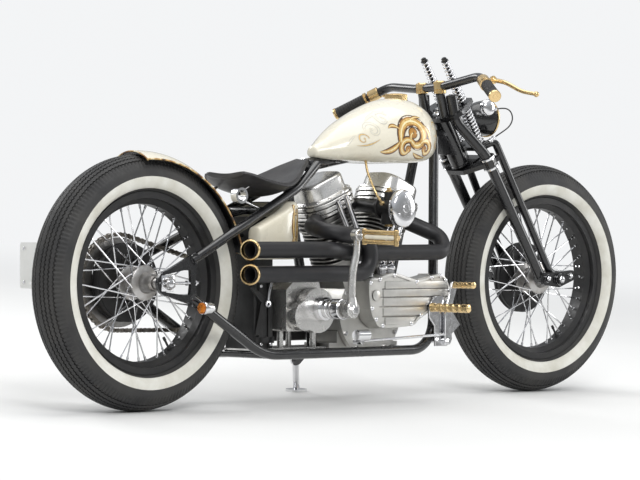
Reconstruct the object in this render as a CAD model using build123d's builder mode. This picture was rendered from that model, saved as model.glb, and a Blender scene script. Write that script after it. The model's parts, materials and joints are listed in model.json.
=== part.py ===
from build123d import *
import math
import os

# Rigid-frame V-twin motorcycle with a springer fork, parked leaning on its side stand.
# Millimetres. Modelled upright: +X forward, +Y to the rider's left, +Z up, with the
# origin on the ground under the rear axle. At the end the whole bike leans to its left,
# the fork turns a little to the right, and the box of the bike is centred on the origin.

# Stance
wheelbase = 1567.0
lean = 4.0
steer_rest = -3.2

# Tyres and wheels
tyre_radius = 342.0
tyre_half_width = 63.5
tyre_crown_height = 62.0
tyre_wall = 9.0
rim_seat_radius = 229.0
rim_flange_height = 14.0
rim_half_width = 42.0
rim_sheet = 3.5
rim_well_depth = 15.0
spokes_per_wheel = 40
spoke_radius = 1.9
hub_flange_radius = 47.0
hub_barrel_radius = 27.0
hub_flange_y = 27.0
axle_radius = 9.5
running_gap = 0.3

# Rear drum, sprocket and chain
drum_radius = 103.0
drum_inner_y = 36.0
drum_outer_y = 66.0
chain_y = 81.0
chain_pitch = 15.875
sprocket_teeth = 51
gearbox_teeth = 24
chain_links = 107
sprocket_thickness = 5.0
chain_half_width = 9.5
chain_waist = 4.4
chain_bulge = 6.5

# Frame
rail_y = 112.0
rail_radius = 14.0
rail_height = 143.0
stay_radius = 12.5
backbone_radius = 19.0
plate_y = 115.0
plate_thickness = 10.0
rake = 32.0
neck_setback = 432.0
head_x = wheelbase - neck_setback
head_z = 870.0
head_tube_radius = 27.0
head_tube_foot = 682.0
head_tube_length = 154.0
stem_radius = 12.7
stem_rise = 54.0
post_radius = 14.0
cross_radius = 12.0

# Engine
crank_x = 810.0
crank_z = 250.0
vee_half_angle = 22.5
case_radius = 122.0
case_right = 68.0
case_left = 62.0
barrel_start = 140.0
barrel_length = 130.0
barrel_core = 57.0
fin_length = 140.0
fin_depth = 128.0
fin_start = 32.0
fin_thickness = 3.6
fin_pitch = 11.5
fin_count = 9
head_length = 76.0
head_fin_count = 5
pan_depth = 62.0
pushrod_radius = 8.5

# Exhaust
pipe_radius = 22.5
pipe_bore = 20.5
pipe_bore_depth = 180.0
pipe_y = -185.0
upper_pipe_z = 430.0
lower_pipe_z = 364.0
tip_x = 236.0
tip_ring_radius = 28.5
tip_ring_length = 14.0

# Fork
fork_leg_radius = 16.0
spring_leg_radius = 11.5
leg_y = 87.0
crown_leg_y = 86.0
pivot_x = wheelbase - 52.0
pivot_z = tyre_radius + 3.0
rocker_y = 109.5
rocker_thickness = 12.0
spring_leg_x = wheelbase + 45.0
spring_leg_z = tyre_radius + 10.0
spring_mid_z = 790.0
spring_offset = 61.0
spring_reach = 96.0
clamp_reach = 32.0
clamp_thickness = 14.0
spring_top = 184.0
spring_y = 43.0
spring_wire = 5.4
spring_rod_radius = 5.0
bar_radius = 12.7
grip_radius = 17.0

SIDES = (("right", -1), ("left", 1))
ENDS = (("rear", 0.0), ("front", wheelbase))

os.makedirs("parts", exist_ok=True)

chassis = {}
rear_wheel = {}
front_wheel = {}
fork = {}
stand = {}


def keep(group, name, builder):
    """Label a finished piece and file it under the body that carries it."""
    builder.part.label = name
    group[name] = builder.part


def bar(points, radius, bends=None):
    """Add a round bar along straight runs joined by arcs."""
    with BuildLine() as path:
        if bends:
            FilletPolyline(*points, radius=bends)
        else:
            Line(*points)
    run = path.wire()
    with BuildSketch(Plane(origin=run @ 0, z_dir=run % 0)) as section:
        Circle(radius)
    sweep(sections=section.sketch, path=run)


def rod(start, end, radius, mode=Mode.ADD):
    """Add a straight round rod between two points."""
    axis = Vector(*end) - Vector(*start)
    with BuildSketch(Plane(origin=start, z_dir=axis)) as section:
        Circle(radius)
    extrude(section.sketch, amount=axis.length, mode=mode)


def cord(points, radius):
    """Add a cable along short straight runs joined by wide tangent arcs."""
    corners = [Vector(*point) for point in points]
    bends = []
    for before, corner, after in zip(corners, corners[1:], corners[2:]):
        half_turn = math.radians((corner - before).get_angle(after - corner) / 2)
        shorter = min((corner - before).length, (after - corner).length)
        bends.append(0.45 * shorter / math.tan(half_turn))
    print("cord radii", [round(bend, 1) for bend in bends])
    bar(points, radius, bends)


def bulged(start, end, share):
    """Middle point of an arc between two points, its rise a share of their distance."""
    run = Vector(*end) - Vector(*start)
    middle = (Vector(*start) + Vector(*end)) * 0.5
    return (middle.X - share * run.Y, middle.Y + share * run.X)


def clear_of(*parts):
    """Cut the piece back to the faces of the pieces that it meets."""
    for other in parts:
        add(other, mode=Mode.SUBTRACT)


def side_plane(y):
    """A plane square to the bike's width, seen from its right: x forward, y up."""
    return Plane(origin=(0, y, 0), x_dir=(1, 0, 0), z_dir=(0, -1, 0))


def steering_axis_x(z):
    return head_x + (head_z - z) * math.tan(math.radians(rake))


def steering_plane(z, offset=0.0):
    """A plane square to the steering axis where the axis is at height z."""
    up = Vector(-math.sin(math.radians(rake)), 0, math.cos(math.radians(rake)))
    origin = Vector(steering_axis_x(z), 0, z) + up * offset
    return Plane(origin=origin, x_dir=(up.Z, 0, -up.X), z_dir=up)


# Stance: lean to the left about the line on the ground, fork turned about its own axis
def lowest(pose, x, steer=None):
    """Lowest point of a tyre, from its crown circle and the pose of its axle."""
    crown_arc = (tyre_half_width**2 + tyre_crown_height**2) / (2 * tyre_crown_height)
    whole = pose * steer if steer else pose
    centre = (whole * Location((x, 0, tyre_radius))).position
    far = (whole * Location((x, 1, tyre_radius))).position
    slope = far.Z - centre.Z
    ring = tyre_radius - crown_arc
    return centre.Z - ring * math.sqrt(1 - slope**2) - crown_arc


steering_line = Axis((steering_axis_x(head_z), 0, head_z), steering_plane(head_z).z_dir)
steer_pose = Location(Plane(steering_line.position, z_dir=steering_line.direction))
steer_turn = steer_pose * Location((0, 0, 0), (0, 0, steer_rest)) * steer_pose.inverse()
lean_pose = Location((0, 0, 0), (-lean, 0, 0))
drop = lowest(lean_pose, wheelbase, steer_turn) - lowest(lean_pose, 0.0)
pitch = math.degrees(math.asin(drop / wheelbase))
pitch_pose = Location((0, 0, 0), (0, pitch, 0)) * lean_pose
lift = -lowest(pitch_pose, 0.0)


# Wheels: the tyre is an open casing seated on a stepped rim laced to its hub.
def tyre_section():
    crown = tyre_radius - tyre_crown_height
    seat = rim_seat_radius + running_gap
    lip = rim_half_width - rim_sheet - running_gap
    flange_top = rim_seat_radius + rim_flange_height + running_gap
    shoulder = tyre_half_width - tyre_wall
    bead = lip - tyre_wall
    top = tyre_radius - tyre_wall
    wall_bulge = 0.13
    cavity = [(bead, flange_top), (shoulder, crown + 4), (shoulder * 0.6, top - 12), (0, top),
              (-shoulder * 0.6, top - 12), (-shoulder, crown + 4), (-bead, flange_top)]
    with BuildLine() as outline:
        ThreePointArc((-tyre_half_width, crown), (0, tyre_radius), (tyre_half_width, crown))
        ThreePointArc((tyre_half_width, crown),
                      bulged((lip, flange_top), (tyre_half_width, crown), -wall_bulge), (lip, flange_top))
        Polyline((lip, flange_top), (lip, seat), (bead, seat), *cavity, (-bead, seat), (-lip, seat),
                 (-lip, flange_top))
        ThreePointArc((-lip, flange_top),
                      bulged((-tyre_half_width, crown), (-lip, flange_top), -wall_bulge), (-tyre_half_width, crown))
    make_face(outline.edges())


def rim_section():
    edge = rim_half_width
    seat = rim_seat_radius
    flange = seat + rim_flange_height
    well = seat - rim_well_depth
    sheet = rim_sheet
    outer = [(edge, flange), (edge - sheet, flange), (edge - sheet, seat), (24, seat), (15, well)]
    inner = [(17, well - sheet), (27, seat - sheet), (edge, seat - sheet)]
    points = outer + [(-x, r) for x, r in reversed(outer)]
    points += [(-x, r) for x, r in reversed(inner)] + inner
    with BuildLine() as outline:
        Polyline(*points, close=True)
    make_face(outline.edges())


def wheel_plane(x):
    """Local x across the wheel, local y out from its axle."""
    return Plane(origin=(x, 0, tyre_radius), x_dir=(0, 1, 0), z_dir=(1, 0, 0))


def axle_line(x):
    return Axis((x, 0, tyre_radius), (0, 1, 0))


wheel_groups = {"rear": rear_wheel, "front": front_wheel}
for end, x in ENDS:
    group = wheel_groups[end]
    plane = wheel_plane(x)
    with BuildPart() as tyre:
        with BuildSketch(plane):
            tyre_section()
        revolve(axis=axle_line(x))
    keep(group, end + "_tyre", tyre)

    with BuildPart() as rim:
        with BuildSketch(plane):
            rim_section()
        revolve(axis=axle_line(x))
    keep(group, end + "_rim", rim)


def spoke_ends(index, x):
    """Hub and rim ends of one spoke: flanges alternate, and pairs cross three times."""
    side = 1 if index % 2 else -1
    lead = 1 if index % 4 < 2 else -1
    step = 360 / spokes_per_wheel
    rim_angle = math.radians(index * step)
    hub_angle = rim_angle + lead * math.radians(62)
    head_y = side * (hub_flange_y + (3.5 if lead > 0 else -3.5))
    rim_y = side * 5
    hub_r = hub_flange_radius - 5
    rim_r = rim_seat_radius - rim_well_depth - rim_sheet - 2 * running_gap
    hub = (x + hub_r * math.cos(hub_angle), head_y, tyre_radius + hub_r * math.sin(hub_angle))
    rim_end = (x + rim_r * math.cos(rim_angle), rim_y, tyre_radius + rim_r * math.sin(rim_angle))
    return hub, rim_end


def hub_and_spokes(x, right_end, left_end, drum_face):
    """Spool hub bored for its axle, its two flanges and the laced spokes."""
    with BuildSketch(wheel_plane(x)) as section:
        with BuildLine() as outline:
            bore = axle_radius + running_gap
            Polyline(
                (right_end, bore), (right_end, 19), (right_end + 8, 24), (-hub_flange_y - 8, hub_barrel_radius),
                (-hub_flange_y - 3, hub_flange_radius), (-hub_flange_y + 3, hub_flange_radius),
                (-hub_flange_y + 8, hub_barrel_radius), (hub_flange_y - 8, hub_barrel_radius),
                (hub_flange_y - 3, hub_flange_radius), (drum_face, hub_flange_radius),
                (drum_face, 30), (left_end, 30), (left_end, bore), close=True)
        make_face(outline.edges())
    revolve(section.sketch, axis=axle_line(x))
    for index in range(spokes_per_wheel):
        hub, rim_end = spoke_ends(index, x)
        run = Vector(*rim_end) - Vector(*hub)
        with BuildSketch(Plane(origin=hub, z_dir=run)) as bar_section:
            RegularPolygon(spoke_radius, 4)
        extrude(bar_section.sketch, amount=run.length)


hub_ends = {"rear": (-74.0, 66.0, 35.7), "front": (-66.0, 56.5, 32.7)}
for end, x in ENDS:
    with BuildPart() as hub:
        hub_and_spokes(x, *hub_ends[end])
    keep(wheel_groups[end], end + "_hub", hub)

with BuildPart() as rear_drum:
    with BuildSketch(side_plane(drum_inner_y)):
        with Locations((0, tyre_radius)):
            Circle(drum_radius)
            Circle(30.3, mode=Mode.SUBTRACT)
    extrude(amount=drum_inner_y - drum_outer_y)
    fillet(rear_drum.edges().group_by(Axis.Y)[-1].sort_by(SortBy.LENGTH)[-1], 6)
keep(rear_wheel, "rear_drum", rear_drum)

sprocket_radius = chain_pitch / (2 * math.sin(math.pi / sprocket_teeth))
gearbox_sprocket_radius = chain_pitch / (2 * math.sin(math.pi / gearbox_teeth))


def sprocket_outline(teeth, tip_radius):
    """Pointed teeth around a disc, as a closed row of points."""
    points = []
    for index in range(2 * teeth):
        turn = math.pi * index / teeth
        reach = tip_radius - (3.6 if index % 2 else 0.0)
        points.append((reach * math.cos(turn), reach * math.sin(turn)))
    return points


with BuildPart() as rear_sprocket:
    with BuildSketch(side_plane(chain_y + sprocket_thickness / 2)):
        with Locations((0, tyre_radius)):
            Polygon(*sprocket_outline(sprocket_teeth, sprocket_radius - chain_bulge - 0.9), align=None)
            with PolarLocations(78, 5, start_angle=18):
                Circle(19, mode=Mode.SUBTRACT)
            Circle(axle_radius + running_gap, mode=Mode.SUBTRACT)
    extrude(amount=sprocket_thickness)
    with BuildSketch(side_plane(drum_outer_y + running_gap)):
        with Locations((0, tyre_radius)):
            Circle(42)
            Circle(axle_radius + running_gap, mode=Mode.SUBTRACT)
    extrude(amount=drum_outer_y + running_gap - chain_y)
keep(rear_wheel, "rear_sprocket", rear_sprocket)

# Frame: axle plates, lower rails that turn up into the downtubes, stays, backbone, neck
plate_end = 34.0
plate_outline = [(0, -plate_end), (88, -58), (110, -46), (98, 0), (110, 62), (90, 76), (0, plate_end)]
with BuildPart() as axle_plates:
    with BuildSketch(side_plane(plate_y + plate_thickness / 2)):
        with BuildLine():
            Polyline(*[(x, tyre_radius + rise) for x, rise in plate_outline])
            ThreePointArc((0, tyre_radius + plate_end), (-plate_end, tyre_radius), (0, tyre_radius - plate_end))
        make_face()
        with Locations((18, tyre_radius)):
            SlotOverall(2 * (axle_radius + 22), 2 * (axle_radius + running_gap), mode=Mode.SUBTRACT)
    extrude(amount=plate_thickness)
    fillet(axle_plates.edges().filter_by(Axis.Y).sort_by(Axis.X)[-3:], 8)
    mirror(about=Plane.XZ)
keep(chassis, "axle_plates", axle_plates)

with BuildPart() as rear_axle:
    rod((0, -plate_y - 22, tyre_radius), (0, plate_y + 22, tyre_radius), axle_radius)
    for side, sign in SIDES:
        nut_face = sign * (plate_y + plate_thickness / 2)
        with BuildSketch(Plane(origin=(0, nut_face, tyre_radius), z_dir=(0, sign, 0))) as nut:
            RegularPolygon(18, 6)
        extrude(nut.sketch, amount=14)
        wheel_face = -74.0 - 1.5 if side == "right" else chain_y + sprocket_thickness / 2 + 4
        spacer_face = sign * (plate_y - plate_thickness / 2)
        rod((0, wheel_face, tyre_radius), (0, spacer_face, tyre_radius), 15)
keep(chassis, "rear_axle", rear_axle)

backbone_rear = (622.0, 666.0)
backbone_front = (head_x + 45.0, 765.0)


def backbone_height(x):
    slope = (backbone_front[1] - backbone_rear[1]) / (backbone_front[0] - backbone_rear[0])
    return backbone_rear[1] + slope * (x - backbone_rear[0])


gusset_half = 22.0
gusset_outline = [(-75, 735), (-40, 776), (15, 776), (97, 706), (10, 706)]
tank_lugs = (720.0, head_x - 165.0)
with BuildPart() as frame_backbone:
    with BuildSketch(steering_plane(head_tube_foot)):
        Circle(head_tube_radius)
    extrude(amount=head_tube_length)
    bar([(backbone_front[0], 0, backbone_front[1]), (backbone_rear[0], 0, backbone_rear[1])], backbone_radius)
    for x in tank_lugs:
        rod((x, -36, backbone_height(x)), (x, 36, backbone_height(x)), 9)
    with BuildSketch(side_plane(gusset_half)):
        with BuildLine():
            Polyline(*[(head_x + ahead, z) for ahead, z in gusset_outline], close=True)
        make_face()
    extrude(amount=2 * gusset_half)
    with BuildSketch(steering_plane(head_tube_foot, -20)):
        Circle(stem_radius + running_gap)
    extrude(amount=head_tube_length + 60, mode=Mode.SUBTRACT)
keep(chassis, "frame_backbone", frame_backbone)

with BuildPart() as frame_rails:
    for side, sign in SIDES:
        bar([(89, sign * plate_y, tyre_radius - 39), (354, sign * (rail_y + 1), rail_height),
             (head_x - 116, sign * rail_y, rail_height), (head_x - 29, sign * 32, 756)], rail_radius, [200, 100])
    clear_of(axle_plates.part, frame_backbone.part)
keep(chassis, "frame_rails", frame_rails)

with BuildPart() as frame_stays:
    for side, sign in SIDES:
        bar([(89, sign * plate_y, tyre_radius + 58), (530, sign * 62, 600), (640, sign * 24, 668)], stay_radius, [150])
    clear_of(axle_plates.part, frame_backbone.part)
keep(chassis, "frame_stays", frame_stays)

# The stand's pivot: deployed it reaches the ground outboard, folded it lies along the rail
stand_pivot = Vector(712, 136, 116)
foot_reach = 232.0
foot_forward = 806.0
ground = pitch_pose.inverse() * Location((foot_forward, foot_reach, -lift))
foot_centre = ground.position
ground_up = Plane(ground).z_dir
deployed = (foot_centre - stand_pivot).normalized()
folded = Vector(-0.985, 0.12, 0.06).normalized()
stand_axis = deployed.cross(folded).normalized()
toward_rail = Vector(0, rail_y - stand_pivot.Y, rail_height - stand_pivot.Z)
toward_rail = (toward_rail - stand_axis * toward_rail.dot(stand_axis)).normalized()
stand_swing = math.degrees(math.acos(deployed.dot(folded)))

post_top = (548, 0, 607)
post_foot = (650, 0, rail_height)
cross_bars = [
    ("seat_bar", 548, 607, 57, 11),
    ("fender_bar", 395, 537, 80, 10),
    ("rear_bar", 382, rail_height, rail_y, 11),
    ("gearbox_bar", 650, rail_height, rail_y, cross_radius),
    ("engine_bar", 925, rail_height, rail_y, cross_radius),
]
with BuildPart() as frame_crossmembers:
    for name, x, z, reach, radius in cross_bars:
        rod((x, -reach, z), (x, reach, z), radius)
    rod(post_top, post_foot, post_radius)
    with BuildSketch(Plane(origin=stand_pivot - stand_axis * 14.5, x_dir=toward_rail, z_dir=stand_axis)):
        with Locations((15, 0)):
            SlotCenterToCenter(30, 26)
    extrude(amount=8)
    rod(tuple(stand_pivot - stand_axis * 14.5), tuple(stand_pivot + stand_axis * 9), 5)
    clear_of(frame_rails.part, frame_stays.part)
keep(chassis, "frame_crossmembers", frame_crossmembers)

# Engine: cases, two finned barrels and heads at the vee angle, pan covers, pushrods
def barrel_plane(lean_angle, distance):
    turn = math.radians(lean_angle)
    up = Vector(math.sin(turn), 0, math.cos(turn))
    return Plane(origin=Vector(crank_x, 0, crank_z) + up * distance, x_dir=(up.Z, 0, -up.X), z_dir=up)


VEE = (("rear", -vee_half_angle), ("front", vee_half_angle))
head_start = barrel_start + barrel_length
pan_start = head_start + head_length

with BuildPart() as cylinders:
    for end, angle in VEE:
        with BuildSketch(barrel_plane(angle, barrel_start)):
            Circle(barrel_core)
        extrude(amount=barrel_length)
        for index in range(fin_count):
            with BuildSketch(barrel_plane(angle, barrel_start + fin_start + index * fin_pitch)):
                with Locations((0, 4)):
                    RectangleRounded(fin_length, fin_depth, 48)
            extrude(amount=fin_thickness)
keep(chassis, "cylinders", cylinders)

with BuildPart() as crankcase:
    with BuildSketch(side_plane(case_left)):
        with Locations((crank_x, crank_z)):
            Circle(case_radius)
        for end, angle in VEE:
            with Locations(Location((crank_x, crank_z), -angle)):
                with Locations((0, barrel_start / 2)):
                    Rectangle(2 * barrel_core + 20, barrel_start)
    extrude(amount=case_left + case_right)
    with BuildSketch(side_plane(case_left)):
        with Locations((990, 305)):
            Circle(42)
        with Locations((940, 290)):
            Rectangle(90, 64)
    extrude(amount=case_left + case_right - 10)
    with BuildSketch(side_plane(50)):
        with Locations(((664 + 936) / 2, 161)):
            Rectangle(936 - 664, 12)
        with Locations((790, 180)):
            Rectangle(190, 40)
    extrude(amount=100)
    with BuildSketch(side_plane(case_left + 34)):
        with Locations((crank_x, crank_z)):
            Circle(78)
    extrude(amount=34)
    clear_of(frame_crossmembers.part, cylinders.part)
keep(chassis, "crankcase", crankcase)

with BuildPart() as cylinder_heads:
    for end, angle in VEE:
        with BuildSketch(barrel_plane(angle, head_start)):
            RectangleRounded(132, 112, 36)
        extrude(amount=head_length)
        for index in range(head_fin_count):
            with BuildSketch(barrel_plane(angle, head_start + 4 + index * 14)):
                with Locations((0, 4)):
                    RectangleRounded(fin_length + 12, fin_depth + 4, 50)
            extrude(amount=fin_thickness + 0.6)
keep(chassis, "cylinder_heads", cylinder_heads)

pan_rows = [
    # rise above the head, length, width, corner
    (13, 168, 146, 54),
    (44, 163, 141, 51),
    (57, 148, 126, 44),
    (pan_depth, 128, 106, 34),
]
with BuildPart() as rocker_covers:
    for end, angle in VEE:
        with BuildSketch(barrel_plane(angle, pan_start)):
            RectangleRounded(178, 156, 60)
        extrude(amount=5)
        with BuildSketch(barrel_plane(angle, pan_start + 5)):
            RectangleRounded(171, 149, 56)
        extrude(amount=3)
        with BuildSketch(barrel_plane(angle, pan_start + 8)):
            RectangleRounded(176, 154, 59)
        extrude(amount=5)
        dome = []
        for rise, length, width, corner in pan_rows:
            with BuildSketch(barrel_plane(angle, pan_start + rise)) as section:
                RectangleRounded(length, width, corner)
            dome.append(section.sketch)
        loft(dome, ruled=True)
keep(chassis, "rocker_covers", rocker_covers)

pushrod_rows = [
    ("rear", -vee_half_angle, 752, -10),
    ("rear", -vee_half_angle, 784, 26),
    ("front", vee_half_angle, 836, -26),
    ("front", vee_half_angle, 868, 10),
]
pushrod_y = -82.0
tappet_top = 388.0
with BuildPart() as pushrods:
    for end, angle, foot_x, offset in pushrod_rows:
        plane = barrel_plane(angle, pan_start)
        top = plane.origin + plane.x_dir * offset + Vector(0, pushrod_y + 6, 0)
        rod((foot_x, pushrod_y - 6, tappet_top), tuple(top), pushrod_radius)
        rod((foot_x, pushrod_y - 6, 352), (foot_x, pushrod_y - 6, tappet_top), 13)
    clear_of(cylinder_heads.part, cylinders.part, rocker_covers.part)
keep(chassis, "pushrods", pushrods)

gear_outline = [(752, 262), (748, 340), (790, 352), (850, 364), (940, 344), (1000, 355), (1040, 360),
                (1064, 345), (1080, 312), (1078, 290), (960, 235), (920, 212), (800, 208), (770, 228)]
with BuildPart() as gear_cover:
    with BuildSketch(side_plane(-110)):
        with BuildLine():
            Polyline(*gear_outline, close=True)
        make_face()
    extrude(amount=14)
    fillet(gear_cover.edges().filter_by(Axis.Y), 7)
    with BuildSketch(side_plane(-case_right)):
        with BuildLine():
            Polyline(*[(min(x, 1006), z) for x, z in gear_outline], close=True)
        make_face()
    extrude(amount=110 - case_right)
    for z, x0, x1 in ((318, 800, 1076), (295, 790, 1076), (268, 790, 1020), (240, 800, 955)):
        with BuildSketch(side_plane(-124)):
            with Locations(((x0 + x1) / 2, z)):
                Rectangle(x1 - x0, 3)
        extrude(amount=-3, mode=Mode.SUBTRACT)
    clear_of(pushrods.part, frame_rails.part)
keep(chassis, "gear_cover", gear_cover)

with BuildPart() as carburettor:
    rod((821, 0, 558), (821, -96, 548), 18)
    rod((821, -90, 548), (821, -172, 546), 25)
    rod((821, -130, 500), (821, -130, 548), 22)
    rod((821, -130, 548), (821, -130, 592), 14)
    rod((745, 0, 560), (875, 0, 560), 17)
    clear_of(cylinder_heads.part, cylinders.part, pushrods.part)
keep(chassis, "carburettor", carburettor)

with BuildPart() as air_cleaner:
    with BuildSketch(side_plane(-172)):
        with Locations((821, 545)):
            Ellipse(47, 54)
    extrude(amount=26)
    fillet(air_cleaner.edges().group_by(Axis.Y)[0], 8)
    with BuildSketch(side_plane(-198)):
        with Locations((821, 545)):
            with PolarLocations(32, 6, start_angle=30):
                Circle(5)
    extrude(amount=-6, mode=Mode.SUBTRACT)
    clear_of(carburettor.part)
keep(chassis, "air_cleaner", air_cleaner)

# Gearbox, primary cover and kick starter
gearbox_x = 545.0
gearbox_z = 267.0
kick_x = 556.0
kick_z = 267.0
with BuildPart() as gearbox:
    with BuildSketch(side_plane(60)):
        with BuildLine():
            Polyline((455, 205), (455, 318), (482, 342), (580, 342), (592, 300), (606, 205), close=True)
        make_face()
    extrude(amount=155)
    fillet(gearbox.edges().filter_by(Axis.Y), 10)
    with BuildSketch(side_plane(chain_y + 3)):
        with Locations((gearbox_x, gearbox_z)):
            Circle(gearbox_sprocket_radius - chain_waist)
    extrude(amount=6)
    rod((gearbox_x, 60, gearbox_z), (gearbox_x, 100, gearbox_z), 20)
    for x in (475, 600):
        rod((x, -50, 158), (x, -50, 210), 9)
        rod((x, 50, 158), (x, 50, 210), 9)
    with BuildSketch(side_plane(70)):
        with Locations((500, 156)):
            Rectangle(262, 6)
    extrude(amount=140)
    with BuildSketch(side_plane(-95)):
        with Locations((kick_x - 10, kick_z - 5)):
            Circle(62)
        with Locations((kick_x - 60, kick_z - 20)):
            Circle(40)
    extrude(amount=35)
    rod((kick_x, -130, kick_z), (kick_x, -222, kick_z), 24)
    clear_of(frame_crossmembers.part)
keep(chassis, "gearbox", gearbox)

with BuildPart() as kick_starter:
    rod((kick_x, -222, kick_z), (kick_x, -258, kick_z), 19)
    bar([(kick_x, -244, kick_z), (562, -248, 340), (575, -250, 470)], 9, [120])
    rod((575, -240, 470), (575, -262, 470), 16)
    rod((575, -262, 467), (577, -274, 467), 8)
keep(chassis, "kick_starter", kick_starter)

pedal_inner = (578, -276, 466)
pedal_outer = (600, -375, 462)
with BuildPart() as kick_pedal:
    for rise in (-12, 12):
        rod((pedal_inner[0], pedal_inner[1], pedal_inner[2] + rise),
            (pedal_outer[0], pedal_outer[1], pedal_outer[2] + rise), 9)
    for x, y, z in (pedal_inner, pedal_outer):
        rod((x, y, z - 22), (x, y, z + 22), 7)
    clear_of(kick_starter.part)
keep(chassis, "kick_pedal", kick_pedal)

with BuildPart() as primary_cover:
    with BuildSketch(side_plane(132)):
        with Locations(((crank_x + gearbox_x) / 2, (crank_z + gearbox_z) / 2)):
            SlotCenterToCenter(crank_x - gearbox_x, 176)
    extrude(amount=34)
    fillet(primary_cover.edges().group_by(Axis.Y)[-1], 12)
    clear_of(gearbox.part, crankcase.part)
keep(chassis, "primary_cover", primary_cover)

rise_between = gearbox_z - tyre_radius
chain_line = math.atan2(rise_between, gearbox_x)
chain_wrap = math.acos((sprocket_radius - gearbox_sprocket_radius) / math.hypot(gearbox_x, rise_between))


def around(centre, radius, angle):
    return (centre[0] + radius * math.cos(angle), centre[1] + radius * math.sin(angle))


def chain_path():
    """Pitch line of the chain: out to the gearbox along the top, back along the bottom."""
    rear = (0.0, tyre_radius)
    front = (gearbox_x, gearbox_z)
    high = chain_line + chain_wrap
    low = chain_line - chain_wrap
    with BuildLine() as outline:
        Line(around(rear, sprocket_radius, high), around(front, gearbox_sprocket_radius, high))
        ThreePointArc(around(front, gearbox_sprocket_radius, high), around(front, gearbox_sprocket_radius, chain_line),
                      around(front, gearbox_sprocket_radius, low))
        Line(around(front, gearbox_sprocket_radius, low), around(rear, sprocket_radius, low))
        ThreePointArc(around(rear, sprocket_radius, low), around(rear, sprocket_radius, chain_line + math.pi),
                      around(rear, sprocket_radius, high))
    return outline.wire()


def chain_outline(side):
    """Edge of the chain on one side of its pitch line: wide at the pins, narrow between."""
    path = chain_path()
    points = []
    for step in range(4 * chain_links):
        share = (step + 0.5) / (4 * chain_links)
        reach = side * (chain_bulge if step % 4 < 2 else chain_waist)
        here = path.position_at(share)
        along = path.tangent_at(share)
        points.append((here.X - reach * along.Y, here.Y + reach * along.X))
    return points


with BuildPart() as drive_chain:
    with BuildSketch(side_plane(chain_y + chain_half_width)):
        Polygon(*chain_outline(1), align=None)
        Polygon(*chain_outline(-1), align=None, mode=Mode.SUBTRACT)
    extrude(amount=2 * chain_half_width)
    clear_of(gearbox.part)
keep(chassis, "drive_chain", drive_chain)

# Exhaust
rear_route = [(660, -14, 518), (562, -82, 492), (545, -175, 478), (691, pipe_y, 462),
              (691, pipe_y, lower_pipe_z), (tip_x, pipe_y, lower_pipe_z)]
front_route = [(955, -8, 528), (1046, -112, 468), (1030, -152, 422), (650, -135, 420),
               (540, pipe_y, upper_pipe_z), (tip_x, pipe_y, upper_pipe_z)]
with BuildPart() as exhaust_pipes:
    bar(rear_route, pipe_radius, [55, 48, 48, 48])
    bar(front_route, pipe_radius, [40, 44, 150, 150])
    for z in (upper_pipe_z, lower_pipe_z):
        rod((tip_x, pipe_y, z), (tip_x + pipe_bore_depth, pipe_y, z), pipe_bore, mode=Mode.SUBTRACT)
    clear_of(cylinder_heads.part)
keep(chassis, "exhaust_pipes", exhaust_pipes)

with BuildPart() as exhaust_tips:
    for z in (upper_pipe_z, lower_pipe_z):
        rod((tip_x - 2, pipe_y, z), (tip_x - 2 + tip_ring_length, pipe_y, z), tip_ring_radius)
        rod((tip_x - 4, pipe_y, z), (tip_x, pipe_y, z), pipe_bore, mode=Mode.SUBTRACT)
    clear_of(exhaust_pipes.part)
    for z in (upper_pipe_z, lower_pipe_z):
        rod((tip_x - 4, pipe_y, z), (tip_x + pipe_bore_depth, pipe_y, z), pipe_bore, mode=Mode.SUBTRACT)
keep(chassis, "exhaust_tips", exhaust_tips)


def dome_section(x, half_width, bottom, top, corner):
    """Flat bottom, round lower corners and one arc over the top, all tangent."""
    height = top - bottom
    flat = half_width - corner
    crown = (flat**2 + (height - corner)**2 - corner**2) / (2 * (height - 2 * corner))
    centre = top - crown
    reach = Vector(flat, bottom + corner - centre)
    edge = Vector(0, centre) + reach * (crown / (crown - corner))
    low = corner * math.sqrt(0.5)
    with BuildSketch(Plane(origin=(x, 0, 0), x_dir=(0, 1, 0), z_dir=(1, 0, 0))) as section:
        with BuildLine() as outline:
            Line((-flat, bottom), (flat, bottom))
            ThreePointArc((flat, bottom), (flat + low, bottom + corner - low), (edge.X, edge.Y))
            ThreePointArc((edge.X, edge.Y), (0, top), (-edge.X, edge.Y))
            ThreePointArc((-edge.X, edge.Y), (-flat - low, bottom + corner - low), (-flat, bottom))
        make_face(outline.edges())
    return section.sketch


# Tanks, battery box, seat and fender
tank_rear = 648.0
tank_front = head_x - 57.0
tank_rows = [
    # share of the tank's length, half width, bottom, top, corner
    (0.0, 22, 688, 722, 14),
    (0.121, 58, 682, 758, 27),
    (0.33, 98, 678, 812, 42),
    (0.586, 120, 676, 856, 50),
    (0.795, 122, 678, 864, 52),
    (0.935, 96, 690, 846, 46),
    (1.0, 52, 716, 812, 32),
]
tank_length = tank_front - tank_rear
tunnel_room = 14.0
with BuildPart() as fuel_tank:
    loft([dome_section(tank_rear + share * tank_length, *row) for share, *row in tank_rows])
    with BuildSketch(side_plane(backbone_radius + 4)):
        with BuildLine():
            Polyline((tank_rear - 48, 640), *[(x, backbone_height(x) + backbone_radius + tunnel_room)
                                              for x in (tank_rear - 48, tank_front + 22)],
                     (tank_front + 22, 640), close=True)
        make_face()
    extrude(amount=2 * backbone_radius + 8, mode=Mode.SUBTRACT)
    clear_of(frame_backbone.part)
keep(chassis, "fuel_tank", fuel_tank)

cap_x = tank_rear + 0.774 * tank_length
with BuildPart() as fuel_cap:
    rod((cap_x, 0, 858), (cap_x, 0, 880), 33)
    clear_of(fuel_tank.part)
keep(chassis, "fuel_cap", fuel_cap)

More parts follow.
